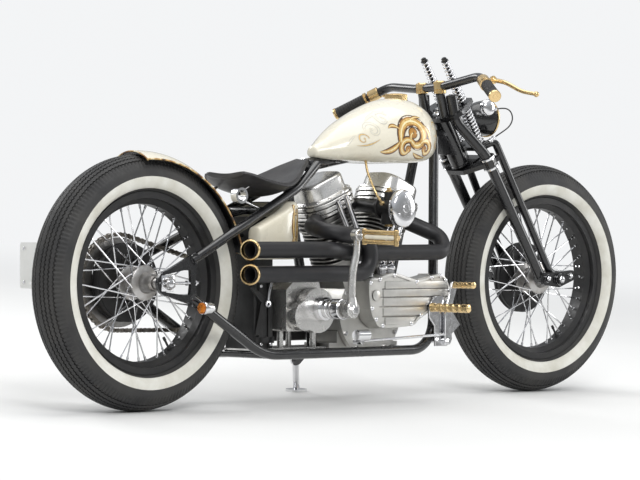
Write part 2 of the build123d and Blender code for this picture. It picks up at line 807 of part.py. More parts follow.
oil_wall_y = 101.0
oil_half = 24.0
oil_bottom = 403.0
oil_top = 566.0
oil_arc_x = 418.0
with BuildPart() as oil_tank:
    with BuildLine() as horseshoe:
        Line((332, -oil_wall_y, (oil_bottom + oil_top) / 2), (oil_arc_x, -oil_wall_y, (oil_bottom + oil_top) / 2))
        ThreePointArc((oil_arc_x, -oil_wall_y, (oil_bottom + oil_top) / 2),
                      (oil_arc_x + oil_wall_y, 0, (oil_bottom + oil_top) / 2),
                      (oil_arc_x, oil_wall_y, (oil_bottom + oil_top) / 2))
        Line((oil_arc_x, oil_wall_y, (oil_bottom + oil_top) / 2), (332, oil_wall_y, (oil_bottom + oil_top) / 2))
    with BuildSketch(Plane(origin=horseshoe.wire() @ 0, x_dir=(0, 1, 0), z_dir=(1, 0, 0))):
        RectangleRounded(2 * oil_half, oil_top - oil_bottom, 22)
    sweep(path=horseshoe.wire())
    clear_of(frame_stays.part, frame_crossmembers.part)
keep(chassis, "oil_tank", oil_tank)

with BuildPart() as battery_box:
    with BuildSketch(Plane.XY.offset(158)):
        with Locations((404, 0)):
            Rectangle(72, 120)
    extrude(amount=520 - 158)
    fillet(battery_box.edges().filter_by(Axis.Z), 6)
    clear_of(frame_crossmembers.part, gearbox.part)
keep(chassis, "battery_box", battery_box)

fender_inner = tyre_radius + 8.0
fender_gauge = 2.5
fender_half = 69.0
fender_angles = (13.0, 94.0)
fender_start = math.radians(fender_angles[1])
with BuildPart() as rear_fender:
    with BuildSketch(Plane(origin=(0, 0, tyre_radius), x_dir=(0, 1, 0),
                           z_dir=(math.sin(fender_start), 0, -math.cos(fender_start)))):
        with BuildLine() as outer:
            ThreePointArc((-fender_half, fender_inner - 22), (0, fender_inner + fender_gauge),
                          (fender_half, fender_inner - 22))
            Line((fender_half, fender_inner - 22), (fender_half - fender_gauge, fender_inner - 22))
            ThreePointArc((fender_half - fender_gauge, fender_inner - 22), (0, fender_inner),
                          (fender_gauge - fender_half, fender_inner - 22))
            Line((fender_gauge - fender_half, fender_inner - 22), (-fender_half, fender_inner - 22))
        make_face()
    revolve(axis=axle_line(0), revolution_arc=fender_angles[1] - fender_angles[0])
keep(chassis, "rear_fender", rear_fender)


def around_wheel(radius, degrees, y=0.0):
    turn = math.radians(degrees)
    return (radius * math.cos(turn), y, tyre_radius + radius * math.sin(turn))


with BuildPart() as fender_brackets:
    for y in (-12, 12):
        rod(around_wheel(fender_inner + 1, 30, y), (395, y, 537), 5)
        rod(around_wheel(fender_inner + 1, 20, y), (372, y, 470), 5)
    clear_of(rear_fender.part, frame_crossmembers.part, battery_box.part)
keep(chassis, "fender_brackets", fender_brackets)

seat_rows = [
    # x, half width, middle height, edge height, thickness
    (318, 88, 618, 628, 20),
    (352, 118, 590, 612, 26),
    (430, 126, 574, 596, 28),
    (520, 84, 612, 626, 26),
    (602, 28, 664, 670, 20),
]
with BuildPart() as seat:
    pads = []
    for x, half, middle, edge, thick in seat_rows:
        with BuildSketch(Plane(origin=(x, 0, 0), x_dir=(0, 1, 0), z_dir=(1, 0, 0))) as pad:
            with BuildLine() as outline:
                ThreePointArc((-half, edge), (0, middle), (half, edge))
                Line((half, edge), (half - 4, edge + thick))
                ThreePointArc((half - 4, edge + thick), (0, middle + thick), (4 - half, edge + thick))
                Line((4 - half, edge + thick), (-half, edge))
            make_face()
        pads.append(pad.sketch)
    loft(pads)
    clear_of(frame_backbone.part, frame_stays.part, frame_crossmembers.part)
keep(chassis, "seat", seat)

hairpin_x = 310.0
hairpin_z = 577.0
with BuildPart() as seat_springs:
    for y in (-62, 62):
        rod((hairpin_x, y - 11, hairpin_z), (hairpin_x, y + 11, hairpin_z), 22)
        rod((hairpin_x, y - 12, hairpin_z), (hairpin_x, y + 12, hairpin_z), 15, mode=Mode.SUBTRACT)
        rod((hairpin_x + 12, y, hairpin_z + 16), (350, y, 606), 4)
        rod((hairpin_x + 14, y, hairpin_z - 14), (395, y, 537), 4)
    rod((590, 0, 640), (612, 0, 684), 7)
    clear_of(seat.part, frame_crossmembers.part, frame_backbone.part, oil_tank.part, frame_stays.part)
keep(chassis, "seat_springs", seat_springs)

plate_size = (230.0, 125.0)
plate_centre = (-118.0, 236.0, 386.0)
with BuildPart() as number_plate:
    with BuildSketch(Plane(origin=plate_centre, x_dir=(0, 1, 0), z_dir=(-1, 0, 0))):
        RectangleRounded(*plate_size, 8)
        with Locations((-70, 48), (70, 48)):
            Circle(3.2, mode=Mode.SUBTRACT)
    extrude(amount=1.5)
keep(chassis, "number_plate", number_plate)

with BuildPart() as plate_bracket:
    rod((62, 120, tyre_radius + 30), (62, 128, tyre_radius + 30), 12)
    rod((62, 125, tyre_radius + 30), (-116, 146, 386), 6)
    with BuildSketch(Plane(origin=plate_centre, x_dir=(0, 1, 0), z_dir=(1, 0, 0))):
        RectangleRounded(200, 60, 6)
    extrude(amount=4)
    rod((-113, 152, 400), (-113, 152, 456), 4)
    clear_of(axle_plates.part, rear_axle.part, number_plate.part)
keep(chassis, "plate_bracket", plate_bracket)

with BuildPart() as rear_lamps:
    rod((-104, 152, 474), (-128, 152, 474), 20)
    for side, sign in SIDES:
        rod((118, sign * 117, tyre_radius - 54), (118, sign * 150, tyre_radius - 66), 6)
        rod((94, sign * 156, tyre_radius - 66), (136, sign * 156, tyre_radius - 66), 15)
        rod((82, sign * 156, tyre_radius - 66), (94, sign * 156, tyre_radius - 66), 17)
    clear_of(frame_rails.part, axle_plates.part, plate_bracket.part)
keep(chassis, "rear_lamps", rear_lamps)

# Forward foot controls, brake rod and pedal
controls_x = head_x - 135.0
control_outline = [(-16, 152), (120, 150), (112, 250), (40, 300), (0, 296), (-14, 250)]
pedal_x = controls_x + 74.0
with BuildPart() as foot_controls:
    for side, sign in SIDES:
        with BuildSketch(side_plane(3 + sign * 130)):
            with BuildLine():
                Polyline(*[(controls_x + ahead, z) for ahead, z in control_outline], close=True)
            make_face()
        extrude(amount=6)
        rod((controls_x + 20, sign * 108, 170), (controls_x + 20, sign * 130, 170), 9)
        rod((controls_x + 38, sign * 92, 262), (controls_x + 38, sign * 130, 262), 9)
        rod((controls_x + 50, sign * 133, 166), (controls_x + 50, sign * 146, 166), 12)
        bar([(controls_x + 50, sign * 142, 166), (controls_x + 84, sign * 142, 240), (pedal_x, sign * 142, 327)],
            6, [60])
    rod((722, -130, 174), (controls_x + 46, -138, 186), 4)
    rod((690, -130, 190), (738, -130, 190), 16)
    rod((714, -100, 172), (714, -134, 172), 8)
    clear_of(frame_rails.part, gear_cover.part)
keep(chassis, "foot_controls", foot_controls)

with BuildPart() as foot_pegs:
    for side, sign in SIDES:
        rod((controls_x - 6, sign * 133.5, 264), (controls_x + 12, sign * 292, 262), 12.5)
        rod((pedal_x, sign * 144, 327), (pedal_x, sign * 243, 327), 9.5)
    clear_of(foot_controls.part)
keep(chassis, "foot_pegs", foot_pegs)

# Springer fork: rigid legs and crowns, sprung legs on rockers, springs, bar and lamp
crown_z = 664.0
crown_outline = [(-30, 34), (22, 104), (62, 104)]
clamp_outline = [(-34, 34), (-22, 80), (16, 84), (88, 60)]
crown_bend = (head_x + 141, 705)
post_y = 38.0


def both_sides(outline):
    """A plate's outline from its left half, mirrored to the right."""
    return outline + [(x, -y) for x, y in reversed(outline)]


with BuildPart() as fork_legs:
    with BuildSketch(steering_plane(crown_z)):
        Polygon(*both_sides(crown_outline), align=None)
        with Locations((30, 40), (30, -40)):
            SlotOverall(38, 13, mode=Mode.SUBTRACT)
    extrude(amount=clamp_thickness)
    with BuildSketch(steering_plane(spring_mid_z, clamp_reach)):
        Polygon(*both_sides(clamp_outline), align=None)
    extrude(amount=clamp_thickness)
    with BuildSketch(steering_plane(crown_z)):
        Circle(stem_radius)
    extrude(amount=head_tube_length + stem_rise)
    for side, sign in SIDES:
        bar([(head_x + 19, sign * 58, 877), (head_x + 33, sign * 65, 805), (crown_bend[0], sign * crown_leg_y,
             crown_bend[1]), (pivot_x, sign * leg_y, pivot_z)], fork_leg_radius, [60, 200])
        rod((crown_bend[0] + 3, sign * crown_leg_y, crown_bend[1] - 5),
            (crown_bend[0] + 23, sign * crown_leg_y, crown_bend[1] - 34), fork_leg_radius + 6)
        rod((pivot_x, sign * (leg_y - 14), pivot_z), (pivot_x, sign * (leg_y + 16.2), pivot_z), 17)
        rod((head_x + 15, sign * post_y, 812), (head_x - 7, sign * post_y, 884), 13)
    with BuildSketch(steering_plane(spring_mid_z, clamp_reach - 1)):
        with Locations((spring_offset, spring_y), (spring_offset, -spring_y)):
            Circle(spring_rod_radius + running_gap)
    extrude(amount=clamp_thickness + 2, mode=Mode.SUBTRACT)
keep(fork, "fork_legs", fork_legs)

with BuildPart() as fork_rockers:
    for side, sign in SIDES:
        with BuildSketch(side_plane(sign * rocker_y + rocker_thickness / 2)):
            with BuildLine():
                FilletPolyline((pivot_x - 17, pivot_z + 17), (pivot_x - 17, pivot_z - 19),
                               (wheelbase, tyre_radius - 24), (wheelbase + 63, tyre_radius - 2),
                               (wheelbase + 61, tyre_radius + 28), (wheelbase, tyre_radius + 22),
                               radius=8, close=True)
            make_face()
        extrude(amount=rocker_thickness)
        rod((spring_leg_x, sign * 78, spring_leg_z), (spring_leg_x, sign * 122, spring_leg_z), 7)
        rod((wheelbase, sign * 115, tyre_radius), (wheelbase, sign * 128, tyre_radius), 17)
        rod((pivot_x, sign * 115, pivot_z), (pivot_x, sign * 124, pivot_z), 11)
    rod((wheelbase, -110, tyre_radius), (wheelbase, 110, tyre_radius), axle_radius)
    for side, sign in SIDES:
        rod((wheelbase, sign * 68.5, tyre_radius), (wheelbase, sign * 104, tyre_radius), 15)
keep(fork, "fork_rockers", fork_rockers)

perch_thickness = 12.0
with BuildPart() as spring_legs:
    for side, sign in SIDES:
        bar([(head_x + 156, sign * 56, 735), (head_x + 183, sign * 76, 751),
             (wheelbase - 15, sign * 90, tyre_radius + 16), (spring_leg_x, sign * 90, spring_leg_z)],
            spring_leg_radius, [16, 40])
        rod((spring_leg_x, sign * 78, spring_leg_z), (spring_leg_x, sign * 102, spring_leg_z), 15)
    with BuildSketch(steering_plane(spring_mid_z, -spring_reach - perch_thickness)):
        with Locations((spring_offset, 0)):
            SlotOverall(2 * spring_y + 48, 42, rotation=90)
    extrude(amount=perch_thickness)
    for y in (-spring_y, spring_y):
        with BuildSketch(steering_plane(spring_mid_z, -spring_reach)):
            with Locations((spring_offset, y)):
                Circle(spring_rod_radius)
        extrude(amount=spring_reach + spring_top + 12)
        with BuildSketch(steering_plane(spring_mid_z, spring_top)):
            with Locations((spring_offset, y)):
                Circle(11)
        extrude(amount=3)
        with BuildSketch(steering_plane(spring_mid_z, spring_top + 3)):
            with Locations((spring_offset, y)):
                RegularPolygon(8.5, 6)
        extrude(amount=7)
    clear_of(fork_rockers.part)
keep(fork, "spring_legs", spring_legs)


def coil(foot, length, foot_radius, top_radius, turns):
    """Add a helical spring standing on a plane, with both ends ground flat."""
    taper = math.degrees(math.atan((top_radius - foot_radius) / length))
    with BuildLine() as path:
        Helix(pitch=length / turns, height=length, radius=foot_radius, center=foot.origin,
              direction=foot.z_dir, cone_angle=taper)
    run = path.wire()
    with BuildSketch(Plane(origin=run @ 0, z_dir=run % 0)) as wire:
        Circle(spring_wire / 2)
    sweep(wire.sketch, path=run, is_frenet=True)
    for level, depth in ((0.0, -spring_wire), (length, spring_wire)):
        with BuildSketch(foot.offset(level)) as ground_end:
            Circle(foot_radius + spring_wire)
        extrude(ground_end.sketch, amount=depth, mode=Mode.SUBTRACT)


clamp_top = clamp_reach + clamp_thickness
spring_rows = [
    # start along the axis from the springs' mid height, length, foot radius, top radius, turns
    (-spring_reach, spring_reach + clamp_reach, 15.3, 15.3, 12),
    (clamp_top, spring_top - clamp_top, 14.6, 8.6, 12),
]
with BuildPart() as fork_springs:
    for start, length, foot_radius, top_radius, turns in spring_rows:
        level = steering_plane(spring_mid_z, start)
        for y in (-spring_y, spring_y):
            foot = Plane(origin=level.from_local_coords((spring_offset, y, 0)), x_dir=level.x_dir, z_dir=level.z_dir)
            coil(foot, length, foot_radius, top_radius, turns)
    clear_of(spring_legs.part)
keep(fork, "fork_springs", fork_springs)

# Handlebar, laid out level and then rolled in its clamps: its left side hangs lower
bar_roll = 4.4
bar_clamp_z = 902.0
grip_start = Vector(-34.8, 258.0, 886.5)
grip_run = Vector(-49.4, 82.9, -41.5)


def rolled(ahead, y, z):
    """A point of the level handlebar, ahead of the neck, after the roll."""
    turn = math.radians(bar_roll)
    rise = z - bar_clamp_z
    return (head_x + ahead, y * math.cos(turn) + rise * math.sin(turn),
            bar_clamp_z - y * math.sin(turn) + rise * math.cos(turn))


def on_grip(sign, share):
    """A point on one grip's centreline, by its share of the grip's length."""
    point = grip_start + grip_run * share
    return rolled(point.X, sign * point.Y, point.Z)


with BuildPart() as handlebar:
    bar([on_grip(-1, 0.96), on_grip(-1, -0.8), rolled(-7, -60, bar_clamp_z), rolled(-7, 60, bar_clamp_z),
         on_grip(1, -0.8), on_grip(1, 0.96)], bar_radius, [60, 60, 60, 60])
keep(fork, "handlebar", handlebar)

with BuildPart() as grips:
    for side, sign in SIDES:
        rod(on_grip(sign, 0.0), on_grip(sign, 0.9), grip_radius)
    clear_of(handlebar.part)
keep(fork, "grips", grips)

with BuildPart() as bar_fittings:
    for side, sign in SIDES:
        rod(on_grip(sign, 0.9), on_grip(sign, 1.0), grip_radius + 1)
        rod(on_grip(sign, -0.08), on_grip(sign, 0.0), grip_radius + 2)
        rod((head_x - 7, sign * post_y, 884), rolled(-9, sign * post_y, 918), 18)
    clear_of(handlebar.part, grips.part, fork_legs.part)
keep(fork, "bar_fittings", bar_fittings)

lever_route = [(-13, 232, 901), (17, 232, 905), (16, 288, 892), (30, 332, 866), (47, 374, 854)]
with BuildPart() as levers:
    for side, sign in SIDES:
        rod(on_grip(sign, -0.45), on_grip(sign, -0.15), 18)
        bar([rolled(ahead, sign * y, z) for ahead, y, z in lever_route], 6, [12, 50, 30])
        with Locations(rolled(lever_route[-1][0], sign * lever_route[-1][1], lever_route[-1][2])):
            Sphere(8.5)
    clear_of(handlebar.part)
keep(fork, "levers", levers)

lamp_z = 818.0
lamp_rim_x = head_x + 217.0
lamp_radius = 53.0
lamp_depth = 78.0
with BuildPart() as headlamp:
    with BuildSketch(Plane(origin=(0, 0, lamp_z), x_dir=(1, 0, 0), z_dir=(0, -1, 0))):
        with BuildLine() as profile:
            Line((lamp_rim_x - lamp_depth, 0), (lamp_rim_x, 0))
            Line((lamp_rim_x, 0), (lamp_rim_x, lamp_radius))
            ThreePointArc((lamp_rim_x, lamp_radius), (lamp_rim_x - 56, 38), (lamp_rim_x - lamp_depth, 0))
        make_face()
    revolve(axis=Axis((0, 0, lamp_z), (1, 0, 0)))
    rod((lamp_rim_x - 46, 0, lamp_z - 30), (lamp_rim_x - 60, 0, 738), 8)
    clear_of(spring_legs.part)
    with BuildSketch(Plane(origin=(lamp_rim_x, 0, lamp_z), z_dir=(1, 0, 0))):
        Circle(lamp_radius + 3)
    extrude(amount=10)
keep(fork, "headlamp", headlamp)

# Round gauge beside the lamp and its cable, which ends in a fitting on the right sprung leg
gauge_x = head_x + 157.0
gauge_z = 848.0
fitting_top = (head_x + 181, -80, 763)
with BuildPart() as gauge:
    rod((gauge_x, -62, gauge_z), (gauge_x, -84, gauge_z), 25)
    fillet(gauge.edges().group_by(Axis.Y)[-1], 9)
    rod((gauge_x, -70, gauge_z), (lamp_rim_x - 48, -20, lamp_z + 16), 6)
    rod((gauge_x + 20, -78, gauge_z - 4), (gauge_x + 29, -78, gauge_z - 3), 5)
    rod(fitting_top, (head_x + 160, -74, 746), 6.5)
    clear_of(headlamp.part, spring_legs.part)
keep(fork, "gauge", gauge)

cable_radius = 2.0
cable_route = [(186, -78, 845), (214, -81, 850), (240, -83, 842), (250, -84, 819), (238, -84, 796),
               (211, -82, 779), (181, -80, 763)]
with BuildPart() as control_cable:
    cord([(head_x + ahead, y, z) for ahead, y, z in cable_route], cable_radius)
    clear_of(gauge.part)
keep(fork, "control_cable", control_cable)

with BuildPart() as front_drum:
    with BuildSketch(side_plane(33)):
        with Locations((wheelbase, tyre_radius)):
            Circle(drum_radius)
            Circle(30.3, mode=Mode.SUBTRACT)
    extrude(amount=-23)
keep(front_wheel, "front_drum", front_drum)

with BuildPart() as brake_plate:
    with BuildSketch(side_plane(58)):
        with Locations((wheelbase, tyre_radius)):
            Circle(drum_radius - 3)
            Circle(axle_radius, mode=Mode.SUBTRACT)
    extrude(amount=-6)
    clear_of(fork_rockers.part, fork_legs.part)
keep(fork, "brake_plate", brake_plate)

# Side stand: a leg from under the left rail to a foot that lies flat on the ground
with BuildPart() as side_stand:
    with BuildSketch(Plane(origin=stand_pivot - stand_axis * 6, z_dir=stand_axis)):
        Circle(17)
    extrude(amount=12.5)
    rod(tuple(stand_pivot + deployed * 14), tuple(foot_centre + ground_up * 9), 9.5)
    with BuildSketch(Plane(origin=foot_centre, x_dir=(1, 0, 0), z_dir=ground_up)):
        SlotOverall(70, 42)
    extrude(amount=7)
    with BuildSketch(Plane(origin=foot_centre, x_dir=(1, 0, 0), z_dir=ground_up)):
        Rectangle(120, 120)
    extrude(amount=-30, mode=Mode.SUBTRACT)
    rod(tuple(stand_pivot - stand_axis * 16), tuple(stand_pivot + stand_axis * 12), 5 + running_gap,
        mode=Mode.SUBTRACT)
keep(stand, "side_stand", side_stand)


posed = []
for group, turn in ((chassis, None), (rear_wheel, None), (stand, None), (front_wheel, steer_turn),
                    (fork, steer_turn)):
    for piece in group.values():
        posed.append(piece.moved(pitch_pose * turn if turn else pitch_pose))
boxes = [piece.bounding_box() for piece in posed]
low = Vector(min(b.min.X for b in boxes), min(b.min.Y for b in boxes), 0)
high = Vector(max(b.max.X for b in boxes), max(b.max.Y for b in boxes), 0)
shift = Vector(-(low.X + high.X) / 2, -(low.Y + high.Y) / 2, lift)
print("pitch", pitch, "lift", lift, "shift", shift, "box", low, high)
print("stand axis", stand_axis, stand_swing)
for piece in posed:
    placed = piece.moved(Location(shift))
    placed.label = piece.label
    export_step(placed, f"parts/{piece.label}.step")
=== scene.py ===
import json
import math
from functools import partial

import bmesh
import bpy
import numpy as np
from mathutils import Matrix, Vector
from mathutils.bvhtree import BVHTree


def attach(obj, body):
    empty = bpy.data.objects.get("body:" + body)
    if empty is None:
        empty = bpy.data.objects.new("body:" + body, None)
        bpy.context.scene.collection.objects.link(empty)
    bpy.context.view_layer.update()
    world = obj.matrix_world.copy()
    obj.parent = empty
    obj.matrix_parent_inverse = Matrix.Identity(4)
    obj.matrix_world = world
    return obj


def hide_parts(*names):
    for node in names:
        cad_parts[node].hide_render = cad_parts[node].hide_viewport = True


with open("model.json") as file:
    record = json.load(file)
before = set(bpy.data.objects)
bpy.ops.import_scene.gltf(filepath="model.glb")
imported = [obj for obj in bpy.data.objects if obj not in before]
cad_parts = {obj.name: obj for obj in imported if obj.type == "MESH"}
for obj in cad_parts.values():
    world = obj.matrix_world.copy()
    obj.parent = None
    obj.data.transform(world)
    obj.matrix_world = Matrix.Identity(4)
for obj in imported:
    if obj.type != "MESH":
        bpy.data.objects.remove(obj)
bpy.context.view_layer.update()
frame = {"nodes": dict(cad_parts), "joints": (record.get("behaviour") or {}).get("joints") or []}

# The motorcycle's looks. Pieces are written in millimetres on the upright bike: x forward
# from the rear axle, y to the rider's left, z up from the ground. Each body's matrix
# carries them to where the bike stands, in metres.
MM = 0.001
RAKE = math.radians(32)
WHEELBASE = 1567.0
TYRE_RADIUS = 342.0
HEAD = Vector((1135.0, 0.0, 870.0))
SIDES = (("right", -1), ("left", 1))
FORWARD, BACKWARD = Vector((1, 0, 0)), Vector((-1, 0, 0))
LEFT, RIGHT = Vector((0, 1, 0)), Vector((0, -1, 0))
UP, DOWN = Vector((0, 0, 1)), Vector((0, 0, -1))

joints = {j["name"]: j for j in frame["joints"]}
steering_axis = Vector(joints["steering"]["axis"]).normalized()


def upright_matrix(across, known_point, row_point):
    """Matrix from the upright bike to a body, from its width direction and one known point."""
    across = Vector(across).normalized()
    ahead = across.cross(steering_axis).normalized()
    forward = ahead * math.cos(RAKE) - steering_axis * math.sin(RAKE)
    up = ahead * math.sin(RAKE) + steering_axis * math.cos(RAKE)
    turn = Matrix((forward, across, up)).transposed()
    origin = Vector(row_point) - turn @ (Vector(known_point) * MM)
    return Matrix.Translation(origin) @ (turn.to_4x4() @ Matrix.Scale(MM, 4))


rear_spin = joints["rear_wheel_spin"]
front_spin = joints["front_wheel_spin"]
chassis_matrix = upright_matrix(rear_spin["axis"], (0, 0, TYRE_RADIUS), rear_spin["pos_m"])
fork_matrix = upright_matrix(front_spin["axis"], HEAD, joints["steering"]["pos_m"])
MATRICES = {"chassis": chassis_matrix, "rear_wheel": chassis_matrix, "side_stand": chassis_matrix,
            "fork": fork_matrix, "front_wheel": fork_matrix}


# Camera: the photograph's own viewing point, found from the wheels and the frame's tubes
CAMERA_POINT = Vector((-5.18013, -5.97906, 0.89347))
CAMERA_YAW = math.radians(44.254)
CAMERA_PITCH = math.radians(2.991)
CAMERA_ROLL = math.radians(2.933)
CAMERA_LENS = 167.65


def add_camera():
    data = bpy.data.cameras.new("camera")
    data.lens = CAMERA_LENS
    data.sensor_width = 36
    data.sensor_fit = "HORIZONTAL"
    data.clip_end = 200
    camera = bpy.data.objects.new("camera", data)
    bpy.context.scene.collection.objects.link(camera)
    yaw, pitch = CAMERA_YAW, CAMERA_PITCH
    level = math.cos(pitch)
    forward = Vector((math.sin(yaw) * level, math.cos(yaw) * level, -math.sin(pitch)))
    right = Vector((math.cos(yaw), -math.sin(yaw), 0))
    up = right.cross(forward)
    rolled_right = right * math.cos(CAMERA_ROLL) + up * math.sin(CAMERA_ROLL)
    rolled_up = up * math.cos(CAMERA_ROLL) - right * math.sin(CAMERA_ROLL)
    turn = Matrix((rolled_right, rolled_up, -forward)).transposed()
    contact = chassis_matrix.translation
    camera.matrix_world = Matrix.Translation(contact + CAMERA_POINT) @ turn.to_4x4()
    bpy.context.scene.camera = camera


# Materials
def new_material(name):
    material = bpy.data.materials.new(name)
    material.use_nodes = True
    nodes = material.node_tree.nodes
    return material, nodes, material.node_tree.links, nodes["Principled BSDF"]


def noise_node(nodes, links, scale, detail=6.0, rough=0.55, coordinates=None):
    """Object-space noise, so that the grain has the same size on every piece."""
    noise = nodes.new("ShaderNodeTexNoise")
    noise.inputs["Scale"].default_value = scale
    noise.inputs["Detail"].default_value = detail
    noise.inputs["Roughness"].default_value = rough
    if coordinates is None:
        coordinates = nodes.new("ShaderNodeTexCoord").outputs["Object"]
    links.new(coordinates, noise.inputs["Vector"])
    return noise


def ramp_node(nodes, links, source, stops):
    ramp = nodes.new("ShaderNodeValToRGB")
    elements = ramp.color_ramp.elements
    while len(elements) < len(stops):
        elements.new(0.5)
    for element, (place, colour) in zip(elements, stops):
        element.position = place
        element.color = (*colour, 1.0)
    links.new(source, ramp.inputs["Fac"])
    return ramp


def range_node(nodes, links, source, from_low, from_high, low, high):
    mapped = nodes.new("ShaderNodeMapRange")
    mapped.inputs["From Min"].default_value = from_low
    mapped.inputs["From Max"].default_value = from_high
    mapped.inputs["To Min"].default_value = low
    mapped.inputs["To Max"].default_value = high
    links.new(source, mapped.inputs["Value"])
    return mapped


def add_bump(nodes, links, shader, height, strength, distance):
    bump = nodes.new("ShaderNodeBump")
    bump.inputs["Strength"].default_value = strength
    bump.inputs["Distance"].default_value = distance
    links.new(height, bump.inputs["Height"])
    links.new(bump.outputs["Normal"], shader.inputs["Normal"])
    return bump


def surface(name, colour, tint, metallic, roughness, blotch=18.0, grain=600.0, bump=0.15,
            coat=0.0, spread=0.08, distance=0.0004):
    """A finish with slow colour variation, uneven gloss and a fine grain."""
    material, nodes, links, shader = new_material(name)
    slow = noise_node(nodes, links, blotch, 8.0)
    ramp = ramp_node(nodes, links, slow.outputs["Fac"], [(0.35, colour), (0.68, tint)])
    links.new(ramp.outputs["Color"], shader.inputs["Base Color"])
    shader.inputs["Metallic"].default_value = metallic
    gloss = noise_node(nodes, links, blotch * 3.1, 5.0)
    rough = range_node(nodes, links, gloss.outputs["Fac"], 0.3, 0.7, max(roughness - spread, 0.02),
                       min(roughness + spread, 1.0))
    links.new(rough.outputs["Result"], shader.inputs["Roughness"])
    if coat:
        shader.inputs["Coat Weight"].default_value = coat
        shader.inputs["Coat Roughness"].default_value = 0.06
    fine = noise_node(nodes, links, grain, 3.0)
    add_bump(nodes, links, shader, fine.outputs["Fac"], bump, distance)
    return material


def cast_metal_with_painted_shade(name, colour, corner_shade_colour, roughness, grain=420.0, bump=0.35, reach=0.012):
    """Cast metal with painted shade: the colour darkens towards a shade colour in corners and recesses, found
    by ambient occlusion.
    """
    material, nodes, links, shader = new_material(name)
    slow = noise_node(nodes, links, 22.0, 8.0)
    ramp = ramp_node(nodes, links, slow.outputs["Fac"],
                     [(0.3, colour), (0.75, tuple(c * 0.82 for c in colour))])
    # Painted shade: ambient occlusion darkens the base colour in corners and between fins
    corner = nodes.new("ShaderNodeAmbientOcclusion")
    corner.inputs["Distance"].default_value = reach
    corner.samples = 4
    corner_shade_mask = range_node(nodes, links, corner.outputs["AO"], 0.25, 0.8, 1.0, 0.0)
    mix = nodes.new("ShaderNodeMix")
    mix.data_type = "RGBA"
    links.new(corner_shade_mask.outputs["Result"], mix.inputs["Factor"])
    links.new(ramp.outputs["Color"], mix.inputs["A"])
    mix.inputs["B"].default_value = (*corner_shade_colour, 1.0)
    links.new(mix.outputs["Result"], shader.inputs["Base Color"])
    shader.inputs["Metallic"].default_value = 0.85
    rough = range_node(nodes, links, slow.outputs["Fac"], 0.3, 0.7, roughness - 0.07, roughness + 0.1)
    links.new(rough.outputs["Result"], shader.inputs["Roughness"])
    fine = noise_node(nodes, links, grain, 4.0)
    add_bump(nodes, links, shader, fine.outputs["Fac"], bump, 0.0006)
    return material


def leather_material():
    material, nodes, links, shader = new_material("black_leather")
    slow = noise_node(nodes, links, 14.0, 6.0)
    ramp = ramp_node(nodes, links, slow.outputs["Fac"],
                     [(0.35, (0.018, 0.017, 0.018)), (0.7, (0.04, 0.038, 0.038))])
    links.new(ramp.outputs["Color"], shader.inputs["Base Color"])
    shader.inputs["Roughness"].default_value = 0.42
    coordinates = nodes.new("ShaderNodeTexCoord")
    cells = nodes.new("ShaderNodeTexVoronoi")
    cells.feature = "DISTANCE_TO_EDGE"
    cells.inputs["Scale"].default_value = 520.0
    links.new(coordinates.outputs["Object"], cells.inputs["Vector"])
    creases = noise_node(nodes, links, 55.0, 6.0)
    total = nodes.new("ShaderNodeMath")
    total.operation = "MULTIPLY_ADD"
    total.inputs[1].default_value = 0.5
    links.new(cells.outputs["Distance"], total.inputs[0])
    links.new(creases.outputs["Fac"], total.inputs[2])
    add_bump(nodes, links, shader, total.outputs["Value"], 0.35, 0.0012)
    return material


def glass_material(name, colour, roughness=0.05):
    material, nodes, links, shader = new_material(name)
    shader.inputs["Base Color"].default_value = (*colour, 1.0)
    shader.inputs["Transmission Weight"].default_value = 0.85
    shader.inputs["Roughness"].default_value = roughness
    shader.inputs["IOR"].default_value = 1.45
    ripple = noise_node(nodes, links, 160.0, 2.0)
    add_bump(nodes, links, shader, ripple.outputs["Fac"], 0.1, 0.0005)
    return material


